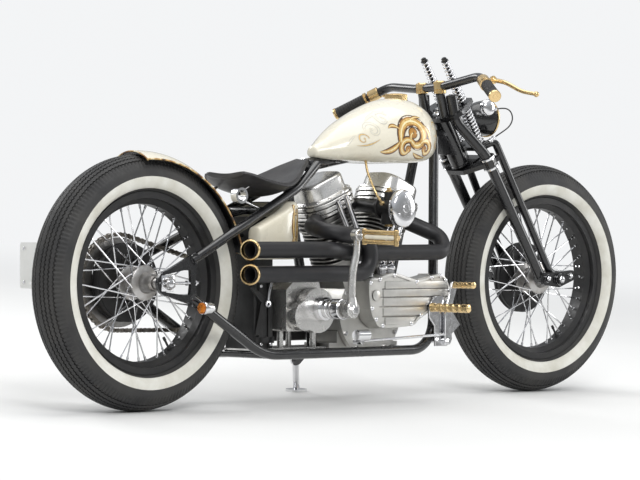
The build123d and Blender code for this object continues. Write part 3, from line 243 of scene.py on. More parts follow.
SURFACES = (
    # finish, material's name, colour, tint, metallic, roughness, blotch, grain, bump;
    # then coat, spread and distance where they differ from the usual
    ("tyre", "tyre_rubber", (0.022, 0.022, 0.023), (0.045, 0.043, 0.04), 0.0, 0.66, 9.0, 900.0, 0.25),
    ("whitewall", "whitewall_rubber", (0.76, 0.75, 0.69), (0.6, 0.58, 0.5), 0.0, 0.55, 16.0, 700.0, 0.1),
    ("black_gloss", "black_gloss_paint", (0.005, 0.005, 0.006), (0.011, 0.011, 0.012), 0.0, 0.24,
     11.0, 200.0, 0.02, 0.5),
    ("black_satin", "black_satin_paint", (0.008, 0.008, 0.009), (0.02, 0.019, 0.018), 0.1, 0.45,
     20.0, 700.0, 0.12),
    ("pipe_black", "pipe_black", (0.011, 0.011, 0.013), (0.02, 0.019, 0.02), 0.2, 0.46, 7.0, 1100.0, 0.22),
    ("chrome", "chrome_plate", (0.82, 0.82, 0.83), (0.72, 0.72, 0.74), 1.0, 0.12,
     24.0, 260.0, 0.01, 0.0, 0.05, 0.0002),
    ("steel", "worn_steel", (0.5, 0.49, 0.48), (0.33, 0.31, 0.29), 0.95, 0.36, 40.0, 900.0, 0.12),
    ("chain_steel", "oiled_steel", (0.16, 0.14, 0.12), (0.3, 0.28, 0.25), 0.9, 0.42, 60.0, 900.0, 0.2),
    ("brass", "brass", (0.83, 0.63, 0.33), (0.72, 0.5, 0.24), 1.0, 0.24,
     26.0, 300.0, 0.02, 0.0, 0.05, 0.0002),
    ("cream", "cream_paint", (0.8, 0.76, 0.64), (0.74, 0.69, 0.55), 0.0, 0.28, 5.0, 180.0, 0.02, 0.8),
    ("rubber", "black_rubber", (0.02, 0.02, 0.02), (0.035, 0.034, 0.033), 0.0, 0.6, 30.0, 900.0, 0.2),
    ("plate_white", "plate_white", (0.82, 0.82, 0.8), (0.76, 0.76, 0.73), 0.0, 0.4, 12.0, 400.0, 0.03),
    ("box_black", "moulded_black", (0.015, 0.015, 0.015), (0.03, 0.03, 0.03), 0.0, 0.5, 25.0, 500.0, 0.25),
    ("umber", "scroll_umber", (0.045, 0.022, 0.012), (0.11, 0.05, 0.018), 0.0, 0.3, 60.0, 600.0, 0.02, 0.8),
    ("amber", "scroll_amber", (0.55, 0.27, 0.05), (0.3, 0.13, 0.03), 0.1, 0.3, 55.0, 600.0, 0.02, 0.8),
    ("gold", "scroll_gold", (0.78, 0.55, 0.2), (0.62, 0.36, 0.09), 0.2, 0.28, 50.0, 600.0, 0.02, 0.8),
    ("light", "scroll_light", (0.9, 0.8, 0.5), (0.85, 0.72, 0.4), 0.0, 0.28, 50.0, 600.0, 0.02, 0.8),
    ("grey", "scroll_grey", (0.5, 0.48, 0.42), (0.62, 0.59, 0.5), 0.0, 0.3, 50.0, 600.0, 0.02, 0.8),
    ("pale", "scroll_pale", (0.74, 0.71, 0.6), (0.7, 0.65, 0.5), 0.0, 0.3, 50.0, 600.0, 0.02, 0.8),
)
CAST_METALS = (
    # finish, colour, painted shade colour for the corners, roughness; then grain, bump and how far the
    # painted shade reaches
    ("cast_alloy", (0.62, 0.61, 0.58), (0.09, 0.08, 0.07), 0.4),
    ("fin_alloy", (0.42, 0.41, 0.39), (0.035, 0.032, 0.03), 0.48, 420.0, 0.35, 0.02),
    ("polished_alloy", (0.74, 0.73, 0.71), (0.12, 0.11, 0.1), 0.24, 240.0, 0.08),
)
SCROLL_PAINTS = ("umber", "amber", "gold", "light", "grey", "pale")

# Slot names for each finish; done looks one up, or takes the one a piece names, but does not use it
SLOTS = {
    "chrome": "chrome", "brass": "brass", "steel": "steel", "chain_steel": "zinc_steel",
    "black_gloss": "frame_black", "black_satin": "frame_black", "cream": "cream_paint",
    "leather": "seat_leather", "cast_alloy": "cast_alloy", "polished_alloy": "polished_alloy",
    "lens_amber": "lens_amber", "tyre": "tyre_rubber", "rubber": "grip_rubber", "umber": "cream_paint",
    "worn_edge": "cream_paint",
}


def worn_edge_material():
    material, nodes, links, shader = new_material("worn_fender_edge")
    patch = noise_node(nodes, links, 46.0, 8.0)
    ramp = ramp_node(nodes, links, patch.outputs["Fac"],
                     [(0.38, (0.76, 0.7, 0.52)), (0.46, (0.62, 0.42, 0.16)),
                      (0.56, (0.3, 0.14, 0.05)), (0.66, (0.08, 0.06, 0.05))])
    links.new(ramp.outputs["Color"], shader.inputs["Base Color"])
    shader.inputs["Roughness"].default_value = 0.5
    fine = noise_node(nodes, links, 380.0, 4.0)
    add_bump(nodes, links, shader, fine.outputs["Fac"], 0.3, 0.0006)
    return material


def make_materials():
    made = {finish: surface(*settings) for finish, *settings in SURFACES}
    made.update({finish: cast_metal_with_painted_shade(finish, *settings) for finish, *settings in CAST_METALS})
    made["leather"] = leather_material()
    made["worn_edge"] = worn_edge_material()
    made["lens_amber"] = glass_material("amber_lens", (1.0, 0.32, 0.03), 0.12)
    made["lens_red"] = glass_material("red_lens", (0.8, 0.02, 0.02), 0.12)
    made["glass"] = glass_material("lamp_glass", (0.95, 0.97, 0.97))
    return made


# Mesh making
class Mesh:
    """Gathers the shapes of one piece, in millimetres on the upright bike."""

    def __init__(self):
        self.points = []
        self.faces = []
        self.slots = []

    def add(self, points, faces, slot=0):
        start = len(self.points)
        self.points.extend(Vector(p) for p in points)
        self.faces.extend([start + i for i in face] for face in faces)
        self.slots.extend([slot] * len(faces))

    def grid(self, rows, close_rows=False, close_columns=False, slot=0, slots=None):
        """Quads between rows of points, closed either way if asked."""
        count, width = len(rows), len(rows[0])
        points = [p for row in rows for p in row]
        faces, face_slots = [], []
        for i in range(count if close_rows else count - 1):
            for j in range(width if close_columns else width - 1):
                a, b = i * width + j, i * width + (j + 1) % width
                c, d = ((i + 1) % count) * width + (j + 1) % width, ((i + 1) % count) * width + j
                faces.append((a, b, c, d))
                face_slots.append(slots[j] if slots else slot)
        self.add(points, faces)
        self.slots[len(self.slots) - len(faces):] = face_slots

    def loft(self, rings):
        """Join closed rings in a row and close both ends."""
        self.grid(rings, close_columns=True)
        self.add(rings[0][::-1], [tuple(range(len(rings[0])))])
        self.add(rings[-1], [tuple(range(len(rings[-1])))])

    def prism(self, low, high):
        """Join two like outlines by a wall and close both ends."""
        count = len(low)
        faces = [tuple(range(count)), tuple(range(2 * count - 1, count - 1, -1))]
        faces += [(i, count + i, count + (i + 1) % count, (i + 1) % count) for i in range(count)]
        self.add(low + high, faces)

    def lathe(self, origin, axis, profile, segments=32, slot=0):
        """Turn a profile of (distance along the axis, radius) into a closed round shape."""
        origin, axis = Vector(origin), Vector(axis).normalized()
        side, other = square_to(axis)
        rows = []
        for k in range(segments):
            turn = 2 * math.pi * k / segments
            out = side * math.cos(turn) + other * math.sin(turn)
            rows.append([origin + axis * along + out * radius for along, radius in profile])
        self.grid(rows, close_rows=True, slot=slot)
        closed = tuple(profile[0]) == tuple(profile[-1])
        for end in (0, -1):
            if profile[end][1] > 1e-6 and not closed:
                ring = [row[end] for row in rows]
                if end == -1:
                    ring.reverse()
                self.add(ring, [tuple(range(segments))], slot)

    def tube(self, path, radius, segments=12):
        """Sweep a circle along a path; radius may change from point to point."""
        path = [Vector(p) for p in path]
        radii = radius if isinstance(radius, (list, tuple)) else [radius] * len(path)
        rows = []
        side = None
        for i, point in enumerate(path):
            before, after = path[max(i - 1, 0)], path[min(i + 1, len(path) - 1)]
            ahead = (after - before).normalized()
            if side is None:
                side, _ = square_to(ahead)
            side = (side - ahead * side.dot(ahead)).normalized()
            other = ahead.cross(side)
            rows.append([point + (side * math.cos(t) + other * math.sin(t)) * radii[i]
                         for t in (2 * math.pi * k / segments for k in range(segments))])
        self.loft(rows)

    def collar(self, origin, axis, inner, outer, width, edge=1.2, slope=None, segments=24):
        """A ring with chamfered outer corners; slope is the chamfer's drop where it isn't the edge."""
        slope = edge if slope is None else slope
        self.lathe(origin, axis, [(0, inner), (0, outer - slope), (edge, outer), (width - edge, outer),
                                  (width, outer - slope), (width, inner), (0, inner)], segments)

    def rod(self, start, end, radius, segments=16, edge=None):
        """A round rod with small bevels at its ends."""
        start, end = Vector(start), Vector(end)
        length = (end - start).length
        edge = min(radius * 0.18, length * 0.2) if edge is None else edge
        profile = [(0, radius - edge), (edge, radius), (length - edge, radius), (length, radius - edge)]
        self.lathe(start, end - start, profile, segments)

    def hexagon(self, origin, axis, width, height):
        """A bolt head or nut, its corners turned down."""
        corner = width / math.sqrt(3)
        self.lathe(origin, axis, [(0, corner), (height * 0.82, corner), (height, corner * 0.86)], 6)

    def box(self, centre, size, bevel=1.0):
        """A block with bevelled edges."""
        shape = bmesh.new()
        bmesh.ops.create_cube(shape, size=1.0)
        bmesh.ops.scale(shape, vec=size, verts=shape.verts)
        bmesh.ops.bevel(shape, geom=shape.edges[:], offset=bevel, segments=2, affect="EDGES", profile=0.6)
        bmesh.ops.translate(shape, vec=centre, verts=shape.verts)
        self.take(shape)

    def take(self, shape):
        """Add a bmesh shape to the piece and free it."""
        shape.verts.index_update()
        self.add([v.co.copy() for v in shape.verts], [[v.index for v in f.verts] for f in shape.faces])
        shape.free()

    def plate(self, outline, plane, thickness, bevel=0.8):
        """Extrude a flat outline; plane gives (origin, local x, local y)."""
        origin, along, up = (Vector(v) for v in plane)
        normal = along.cross(up)
        shape = bmesh.new()
        ring = [shape.verts.new(origin + along * x + up * y) for x, y in outline]
        face = shape.faces.new(ring)
        made = bmesh.ops.extrude_face_region(shape, geom=[face])
        moved = [v for v in made["geom"] if isinstance(v, bmesh.types.BMVert)]
        bmesh.ops.translate(shape, vec=normal * thickness, verts=moved)
        bmesh.ops.recalc_face_normals(shape, faces=shape.faces[:])
        bmesh.ops.bevel(shape, geom=shape.edges[:], offset=bevel, segments=1, affect="EDGES")
        self.take(shape)

    def done(self, name, body, finishes, sharp=35.0, replaces=(), slot_name=None):
        """Make the piece, carry it into the row frame and let it ride on its body."""
        if isinstance(finishes, str):
            finishes = (finishes,)
        data = bpy.data.meshes.new(name)
        data.from_pydata([tuple(p) for p in self.points], [], self.faces)
        for finish in finishes:
            data.materials.append(materials[finish])
        data.polygons.foreach_set("material_index", self.slots)
        data.transform(MATRICES[body])
        shape = bmesh.new()
        shape.from_mesh(data)
        bmesh.ops.remove_doubles(shape, verts=shape.verts, dist=1e-6)
        bmesh.ops.recalc_face_normals(shape, faces=shape.faces[:])
        limit = math.radians(sharp)
        for edge in shape.edges:
            if len(edge.link_faces) == 2:
                edge.smooth = edge.calc_face_angle() < limit
        for face in shape.faces:
            face.smooth = True
        shape.to_mesh(data)
        shape.free()
        piece = bpy.data.objects.new(name, data)
        bpy.context.scene.collection.objects.link(piece)
        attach(piece, body)
        if replaces:
            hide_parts(*replaces)
        slot_name = slot_name or SLOTS.get(finishes[0])
        return piece


def square_to(axis):
    """Two unit directions square to an axis and to each other."""
    axis = Vector(axis).normalized()
    helper = UP if abs(axis.z) < 0.9 else FORWARD
    side = axis.cross(helper).normalized()
    return side, axis.cross(side).normalized()


def around(centre, radius, degrees):
    """A point on an upright circle seen from the side: 0 is ahead of its centre, 90 above it."""
    x, y, z = centre
    turn = math.radians(degrees)
    return Vector((x + radius * math.cos(turn), y, z + radius * math.sin(turn)))


def curve_point(a, b, c, d, share):
    """A place between b and c on a smooth curve through four points."""
    return 0.5 * ((2 * b) + (c - a) * share + (2 * a - 5 * b + 4 * c - d) * share**2
                  + (3 * b - a - 3 * c + d) * share**3)


def smooth_path(points, steps=10):
    """Points along a smooth curve through the given ones."""
    points = [Vector(p) for p in points]
    padded = [points[0] * 2 - points[1]] + points + [points[-1] * 2 - points[-2]]
    path = []
    for corners in zip(padded, padded[1:], padded[2:], padded[3:]):
        path += [curve_point(*corners, k / steps) for k in range(steps)]
    path.append(points[-1])
    return path


def steering_point(z, ahead=0.0, across=0.0, along=0.0):
    """A point by its place round the steering axis where that axis is at height z."""
    sine, cosine = math.sin(RAKE), math.cos(RAKE)
    x = HEAD.x + (HEAD.z - z) * math.tan(RAKE)
    return Vector((x + ahead * cosine - along * sine, across, z + ahead * sine + along * cosine))


materials = make_materials()
add_camera()


# Tyres: a round casing, whitewall bands and a ribbed tread with sawtooth grooves
TYRE_HALF = 63.5
CROWN_CENTRE = 278.5
BEAD_HALF = 38.0
BEAD_RADIUS = 229.6
FLANGE_TOP = 244.0
TREAD_PITCHES = 168
SAMPLES = 4
TREAD_DEPTH = 4.0
CUT_DEPTH = 3.0
WHITEWALL = (251.6, 283.5)
TYRE_LINING = [(BEAD_HALF - 0.1, BEAD_RADIUS), (29.0, BEAD_RADIUS), (29.0, 244.0), (50.0, 268.0),
               (52.0, 286.0), (30.0, 322.0), (0.0, 332.0)]
GROOVES = (
    # degrees round the crown where a groove starts, its sawtooth swing, the cross cut beside it
    (6.4, 1.5, 0.0), (17.6, -1.5, 0.0), (29.0, 1.5, 0.0), (41.0, -1.3, 0.2),
)
SHOULDER = (
    # degrees round the crown, depth of the cross cuts
    (47.0, 0.85), (54.0, 0.8), (61.0, 0.65), (65.0, 0.1), (69.0, 0.0), (78.0, 0.0),
)
SIDEWALL = (
    # across, radius
    (BEAD_HALF, BEAD_RADIUS), (BEAD_HALF, 237.0), (BEAD_HALF + 0.2, FLANGE_TOP), (42.5, 246.6), (47.2, 249.6),
    (50.4, 251.4), (51.6, 251.8), (55.6, 256.6), (58.8, 262.4), (61.2, 269.0), (62.9, 276.4), (63.5, 283.2),
    (62.6, 284.4), (62.3, 288.0),
)


def tyre_columns():
    """(across or degrees, radius, depth, swing, cut, whitewall) from one bead over the crown to the other."""
    tread = [(0.0, None, 0.0, 0.0, 0.0, False)]
    for first, swing, cut in GROOVES:
        tread += [(first, None, 0.0, swing, 0.0, False), (first + 1, None, 1.0, swing, 0.0, False),
                  (first + 3, None, 1.0, swing, 0.0, False), (first + 4, None, 0.0, swing, cut, False)]
    tread += [(degrees, None, 0.0, 0.0, cut, False) for degrees, cut in SHOULDER]
    white_foot, white_top = WHITEWALL
    half = [(across, radius, 0.0, 0.0, 0.0, white_foot <= radius < white_top) for across, radius in SIDEWALL]
    half += reversed(tread)
    return half + [(-place, *rest) for place, *rest in reversed(half[:-1])]


def tread_place(column, phase):
    """Where a column of the tyre lies: across the wheel, and its distance from the axle."""
    place, radius, depth, swing, cut, _ = column
    if radius is not None:
        return place, radius
    tooth = (-1.0, 0.0, 1.0, 0.0)[phase]
    notch = (1.0, 1.0, 0.0, 0.0)[phase]
    angle = math.radians(place + tooth * swing * (1 if place > 0 else -1))
    out = TYRE_HALF - TREAD_DEPTH * depth - CUT_DEPTH * cut * notch
    return out * math.sin(angle), CROWN_CENTRE + out * math.cos(angle)


def add_tyre(end, x):
    """One tyre: its outside with tread and whitewalls, and its inside."""
    columns = tyre_columns()
    rows = []
    count = TREAD_PITCHES * SAMPLES
    for k in range(count):
        turn = 2 * math.pi * k / count
        row = []
        for column in columns:
            across, reach = tread_place(column, k % SAMPLES)
            row.append(Vector((x + reach * math.cos(turn), across, TYRE_RADIUS + reach * math.sin(turn))))
        rows.append(row)
    whites = [1 if columns[j][5] and columns[j + 1][5] else 0 for j in range(len(columns) - 1)]
    mesh = Mesh()
    mesh.grid(rows, close_rows=True, slots=whites)
    lining = TYRE_LINING + [(-y, radius) for y, radius in reversed(TYRE_LINING[:-1])]
    inner = [[around((x, y, TYRE_RADIUS), radius, 360 * k / count) for y, radius in lining]
             for k in range(0, count, 8)]
    mesh.grid(inner, close_rows=True)
    mesh.done(f"{end}_tyre_tread", f"{end}_wheel", ("tyre", "whitewall"), sharp=38, replaces=[f"{end}_tyre"])


# Wheels: round spokes with heads and nipples, spool hubs and a valve
SPOKES = 40
SPOKE_RADIUS = 2.0
HUB_FLANGE_Y = 27.0
HOLE_CIRCLE = 42.0
SPOKE_LEAD = 62
RIM_WELL = 210.5
VALVE_TURN = -58


def spoke_line(index, x):
    """A spoke's ends at hub and rim, its side and whether it leads or trails."""
    side = 1 if index % 2 else -1
    lead = 1 if index % 4 < 2 else -1
    rim_angle = index * 360 / SPOKES
    hub = around((x, side * (HUB_FLANGE_Y + 3.5 * lead), TYRE_RADIUS), HOLE_CIRCLE,
                 rim_angle + lead * SPOKE_LEAD)
    rim = around((x, side * 5, TYRE_RADIUS), RIM_WELL, rim_angle)
    return hub, rim, side, lead


def add_hub(end, x, right_end, left_end, drum_face):
    """The turned hub body, its spokes with heads and nipples, and the holes' rims."""
    mesh = Mesh()
    profile = [(right_end, 9.9), (right_end, 18), (right_end + 1.5, 19), (right_end + 9, 23.5), (-46, 25.5),
               (-41, 27), (-36, 29), (-32.5, 44), (-30.5, 47), (-23.5, 47), (-22, 44), (-19, 29.5), (-13, 26),
               (13, 26), (19, 29.5), (22, 44), (23.5, 47), (min(30.5, drum_face - 0.5), 47),
               (drum_face, 46.5), (drum_face, 30), (left_end, 30), (left_end, 9.9), (right_end, 9.9)]
    mesh.lathe((x, 0, TYRE_RADIUS), LEFT, profile, 64, slot=1)
    for index in range(SPOKES):
        hub, rim, side, lead = spoke_line(index, x)
        run = (rim - hub).normalized()
        outward = Vector((0, lead * side, 0))
        mesh.tube([hub, hub + run * 8, rim], SPOKE_RADIUS, 8)
        mesh.lathe(rim - run * 13, run, [(0, 2.4), (1, 3.2), (12, 3.4), (13.2, 4.4)], 8)
        mesh.lathe(hub - outward * 1.8, outward, [(0, 3.9), (1.6, 3.4), (2.2, 1.6)], 8)
    for side in (-1, 1):
        for k in range(SPOKES // 2):
            degrees = 18 * k + (4.5 if side > 0 else 13.5)
            hole = around((x, side * (HUB_FLANGE_Y + 3.6), TYRE_RADIUS), HOLE_CIRCLE, degrees)
            mesh.lathe(hole, (0, side, 0), [(0, 3.6), (0.5, 3.2)], 8)
    mesh.done(f"{end}_spoked_hub", f"{end}_wheel", ("chrome", "steel"), replaces=[f"{end}_hub"])


def add_valve(end, x):
    mesh = Mesh()
    foot = around((x, 0, TYRE_RADIUS), RIM_WELL - 0.5, VALVE_TURN)
    inward = Vector((x, 0, TYRE_RADIUS)) - foot
    mesh.lathe(foot, inward,
               [(0, 6.5), (3, 6.0), (3.2, 3.2), (26, 3.2), (26.4, 4.1), (36, 4.1), (37, 2.5)], 12)
    mesh.done(f"{end}_valve", f"{end}_wheel", "rubber", slot_name="tyre_rubber")


for end, x in (("rear", 0.0), ("front", WHEELBASE)):
    add_tyre(end, x)
    add_valve(end, x)
add_hub("rear", 0.0, -74.0, 66.0, 35.7)
add_hub("front", WHEELBASE, -66.0, 56.5, 32.7)


# Bolts and screws
def bolt_ring(mesh, centre, axis, radius, count, width, height, start=0.0):
    """Hexagon heads on a circle."""
    side, other = square_to(axis)
    for k in range(count):
        turn = math.radians(start) + 2 * math.pi * k / count
        place = Vector(centre) + (side * math.cos(turn) + other * math.sin(turn)) * radius
        mesh.hexagon(place, axis, width, height)


def screw(mesh, place, axis, radius, height):
    """A round screw head with a socket."""
    mesh.lathe(place, axis, [(0, radius), (height - 0.8, radius), (height, radius - 0.8),
                             (height, radius * 0.52), (height - 1.4, radius * 0.48), (height - 1.4, 0)], 16)


# Handlebar: the same layout and roll as the bar itself
BAR_ROLL = math.radians(4.4)
BAR_CLAMP_Z = 902.0
GRIP_START = Vector((-34.8, 258.0, 886.5))
GRIP_RUN = Vector((-49.4, 82.9, -41.5))
GRIP_RIBS = 11


def rolled(ahead, y, z):
    rise = z - BAR_CLAMP_Z
    return Vector((HEAD.x + ahead, y * math.cos(BAR_ROLL) + rise * math.sin(BAR_ROLL),
                   BAR_CLAMP_Z - y * math.sin(BAR_ROLL) + rise * math.cos(BAR_ROLL)))


def on_grip(sign, share):
    point = GRIP_START + GRIP_RUN * share
    return rolled(point.x, sign * point.y, point.z)


def add_riser(mesh, sign):
    """A turned riser with a groove near its foot and two screws in its top."""
    top = rolled(-9, sign * 38.0, 918.0)
    foot = Vector((HEAD.x - 7, sign * 38.0, 884.0))
    height = (top - foot).length
    mesh.lathe(foot, top - foot, [(0, 0), (0, 17.0), (1.2, 18.0), (10, 18.0), (11, 17.0), (12, 18.0),
                                  (height - 3, 18.0), (height - 0.8, 16.0), (height, 12.0), (height, 0)], 40)
    for along in (-11.0, 11.0):
        place = top + Vector((along, 0, 0)) - (top - foot).normalized()
        screw(mesh, place, top - foot, 3.6, 2.4)


def add_grips():
    """Black ribbed sleeves, with turned brass caps and collars at their ends."""
    sleeves, brass_ends = Mesh(), Mesh()
    for _, sign in SIDES:
        start, end = on_grip(sign, 0.0), on_grip(sign, 0.9)
        length = (end - start).length
        profile = [(0, 13.0), (0, 16.4), (2, 17.0)]
        pitch = (length - 8) / GRIP_RIBS
        for k in range(GRIP_RIBS):
            foot = 4 + k * pitch
            groove_end = foot + pitch * 0.3
            profile += [(foot, 16.9), (foot + 0.8, 15.2), (groove_end, 15.2), (groove_end + 0.8, 16.9)]
        profile += [(length - 2, 17.0), (length, 16.4), (length, 13.0)]
        sleeves.lathe(start, end - start, profile + [profile[0]], 32)
        cap = on_grip(sign, 1.0) - end
        reach = cap.length
        brass_ends.lathe(end, cap, [(0, 13.0), (0, 17.6), (1.2, 18.0), (reach - 4, 18.0), (reach - 1.5, 16.6),
                                    (reach - 0.6, 13.0), (reach - 0.6, 7.0), (reach, 6.4), (reach, 0)], 40)
        collar = on_grip(sign, -0.08)
        width = (start - collar).length
        brass_ends.lathe(collar, start - collar,
                         [(0, 13.0), (0, 17.5), (1.0, 19.0), (width * 0.35, 19.0), (width * 0.42, 17.6),
                          (width * 0.58, 17.6), (width * 0.65, 19.0), (width - 1, 19.0), (width, 17.5),
                          (width, 13.0), (0, 13.0)], 40)
        add_riser(brass_ends, sign)
    sleeves.done("grip_sleeves", "fork", "rubber", replaces=["grips"])
    brass_ends.done("grip_caps_and_risers", "fork", "brass", replaces=["bar_fittings"])


LEVER_ROUTE = ((17, 232, 905), (16.5, 262, 899), (18, 290, 890), (30, 332, 866), (47, 374, 854))
LEVER_BALL = 8.4


def add_levers():
    """Clamp with its screw, pivot lug and a curved blade that ends in a ball."""
    mesh = Mesh()
    for _, sign in SIDES:
        inner, outer = on_grip(sign, -0.45), on_grip(sign, -0.15)
        span = outer - inner
        mesh.collar(inner, span, 13.0, 18.0, span.length, segments=36)
        route = [rolled(ahead, sign * y, z) for ahead, y, z in LEVER_ROUTE]
        pivot = route[0]
        base = rolled(-13, sign * 232, 901)
        upright = span.normalized().cross((pivot - base).normalized()).normalized()
        mesh.tube([base, base.lerp(pivot, 0.6), pivot], [9.5, 7.5, 7.5], 16)
        mesh.lathe(pivot - upright * 9, upright,
                   [(0, 0), (0, 8.6), (1, 9.4), (17, 9.4), (18, 8.6), (18, 0)], 24)
        mesh.hexagon(pivot + upright * 9, upright, 9.0, 3.4)
        path = smooth_path(route, 10)
        radii = [7.0 - 1.6 * (k / (len(path) - 1)) for k in range(len(path))]
        mesh.tube(path, radii, 16)
        ball = [(LEVER_BALL * -math.cos(math.pi * k / 12), LEVER_BALL * math.sin(math.pi * k / 12))
                for k in range(13)]
        mesh.lathe(route[-1], (path[-1] - path[-2]).normalized(), ball, 20)
    mesh.done("brake_and_clutch_levers", "fork", "brass", replaces=["levers"])


# Fork: crown fasteners, polished clamp bands, stem nut, rocker pins and axle nuts
CROWN_BEND = (HEAD.x + 141, 705.0)
PIVOT = (WHEELBASE - 52, TYRE_RADIUS + 3)
SPRING_EYE = (WHEELBASE + 45, TYRE_RADIUS + 10)
SPRING_MID_Z = 790.0
CLAMP_REACH = 32.0
CLAMP_THICKNESS = 14.0
CLAMP_AHEAD = 16.0
CLAMP_SIDE = 83.6
FORK_ENDS = (
    # place in x and z, how far out its bolt reaches, the bolt's size and height
    (PIVOT, 124.0, 15.0, 6.0), ((WHEELBASE, TYRE_RADIUS), 128.0, 22.0, 9.0), (SPRING_EYE, 122.0, 12.0, 5.0),
)


def axis_direction():
    return Vector((-math.sin(RAKE), 0, math.cos(RAKE)))


def add_end_bolt(mesh, place, out, size, height):
    """A bolt head on a washer, with a thread's end standing out of it."""
    mesh.lathe(place - out * 1.6, out,
               [(0, size * 0.4), (0, size * 0.82), (1.6, size * 0.82), (1.6, size * 0.4)], 28)
    mesh.hexagon(place, out, size, height)
    mesh.lathe(place + out * height, out,
               [(0, size * 0.3), (0.9, size * 0.3), (1.3, size * 0.22), (1.3, 0)], 16)


def add_fork_details():
    """Clamp bands and caps on the legs, bolts at the rockers, the stem's nut and its races."""
    chrome, black = Mesh(), Mesh()
    up = axis_direction()
    for _, sign in SIDES:
        out = Vector((0, sign, 0))
        bend = Vector((CROWN_BEND[0], sign * 86, CROWN_BEND[1]))
        down = (Vector((PIVOT[0], sign * 87, PIVOT[1])) - bend).normalized()
        for foot in (2.0, 34.0):
            chrome.collar(bend + down * foot, down, 16.2, 23.4, 7.0, 1.0, 1.4, 40)
        for foot in (14.0, 26.0):
            chrome.hexagon(bend + down * foot + out * 21.5, out, 11.0, 5.0)
        top = Vector((HEAD.x + 19, sign * 58, 877.0))
        below = Vector((HEAD.x + 33, sign * 65, 805.0))
        cap = (top - below).normalized()
        black.lathe(top - cap * 0.5, cap, [(0, 16.2), (1.6, 16.6), (4.2, 15.0), (5.8, 9.0), (6.2, 0)], 32)
        screw(chrome, top + cap * 5.0, cap, 5.0, 2.6)
        for (x, z), face, size, height in FORK_ENDS:
            add_end_bolt(chrome, Vector((x, sign * (face - height + 0.5), z)), out, size, height)
        clamp = steering_point(SPRING_MID_Z, CLAMP_AHEAD, sign * CLAMP_SIDE,
                               CLAMP_REACH + CLAMP_THICKNESS / 2)
        chrome.hexagon(clamp, out, 10.0, 5.0)
    stem = steering_point(664.0, 0, 0, 208.0)
    chrome.hexagon(stem - up * 24, up, 34.0, 16.0)
    chrome.lathe(stem - up * 8, up, [(0, 14.6), (1, 15.4), (5, 14.0), (8.5, 8.0), (9.0, 0)], 32)
    for along, height in ((-3.5, 7.0), (148.0, 5.6)):
        black.lathe(steering_point(682.0, 0, 0, along), up,
                    [(0, 13), (0, 27.5), (1, 29.0), (height - 1, 29.0), (height, 27.2), (height, 13),
                     (0, 13)], 40)
    chrome.done("fork_fasteners", "fork", "chrome")
    black.done("fork_caps_and_races", "fork", "black_gloss")


# Headlamp: turned rim, domed glass, reflector and bulb
LAMP_Z = 818.0
LAMP_RIM_X = HEAD.x + 217.0
LAMP_RADIUS = 53.0
LAMP_DEPTH = 78.0
GLASS_RADIUS = 47.0


def add_headlamp():
    shell, rim, bowl, glass, bulb = (Mesh() for _ in range(5))
    origin = Vector((LAMP_RIM_X, 0, LAMP_Z))
    outer = [(-LAMP_DEPTH, 0.0)]
    for k in range(1, 18):
        share = k / 18
        outer.append((-LAMP_DEPTH * (1 - share), LAMP_RADIUS * math.sin(math.acos(1 - share)) ** 0.92))
    outer += [(0.0, LAMP_RADIUS), (2.0, LAMP_RADIUS), (2.0, 47.0), (-6.0, 47.0), (-6.0, 0.0)]
    shell.lathe(origin, FORWARD, outer, 64)
    stem_top = origin + Vector((-46, 0, -LAMP_RADIUS + 9))
    stem_foot = Vector((LAMP_RIM_X - 60, 0, 740.0))
    stem = stem_top - stem_foot
    shell.rod(stem_top, stem_foot, 8.0, 24)
    shell.lathe(stem_foot + stem.normalized() * 12, stem,
                [(0, 8.0), (0, 12.0), (1.5, 13.0), (7, 13.0), (8, 12.0), (8, 8.0)], 24)
    rim.lathe(origin, FORWARD, [(0.6, 48.5), (0.6, 55.6), (2.0, 56.0), (5.0, 56.0), (7.6, 54.4), (9.2, 51.4),
                                (9.8, 48.6), (9.0, 47.2), (6.0, 47.6), (0.6, 48.5)], 64)
    rim.box(origin + Vector((3.5, 0, LAMP_RADIUS + 2.0)), (6.0, 9.0, 4.6), 0.8)
    bowl.lathe(origin, FORWARD, [(-5.8, 0), (-5.6, 8.0), (-4.0, 22.0), (0.0, 36.0), (5.0, 46.6), (6.0, 47.4),
                                 (4.6, 47.4), (-5.8, 30.0), (-5.9, 0)], 48)
    steps = (0.0, 8.0, 16.0, 24.0, 32.0, 40.0, GLASS_RADIUS)
    dome = [(7.0 - 4.6 * (r / GLASS_RADIUS) ** 2 + 2.6, r) for r in steps]
    back = [(along - 1.6, r) for along, r in reversed(dome)]
    glass.lathe(origin, FORWARD, dome + back, 48)
    for k in range(-4, 5):
        across = k * 9.6
        reach = math.sqrt(45.0**2 - across**2)
        path = [origin + Vector((9.4 - 4.6 * ((across**2 + z**2) / GLASS_RADIUS**2) - 0.4, across, z))
                for z in np.linspace(-reach, reach, 13)]
        glass.tube(path, 1.1, 8)
    bulb.lathe(origin + FORWARD * -5.0, FORWARD,
               [(0, 0), (0, 7.0), (3, 7.0), (4, 4.6), (8, 4.6), (11, 2.4), (11.5, 0)], 20)
    shell.done("headlamp_shell", "fork", "black_gloss", replaces=["headlamp"])
    rim.done("headlamp_rim", "fork", "brass")
    bowl.done("headlamp_reflector", "fork", "chrome")
    glass.done("headlamp_glass", "fork", "glass", sharp=60)
    bulb.done("headlamp_bulb", "fork", "plate_white")


GAUGE = Vector((HEAD.x + 157.0, 0, 848.0))


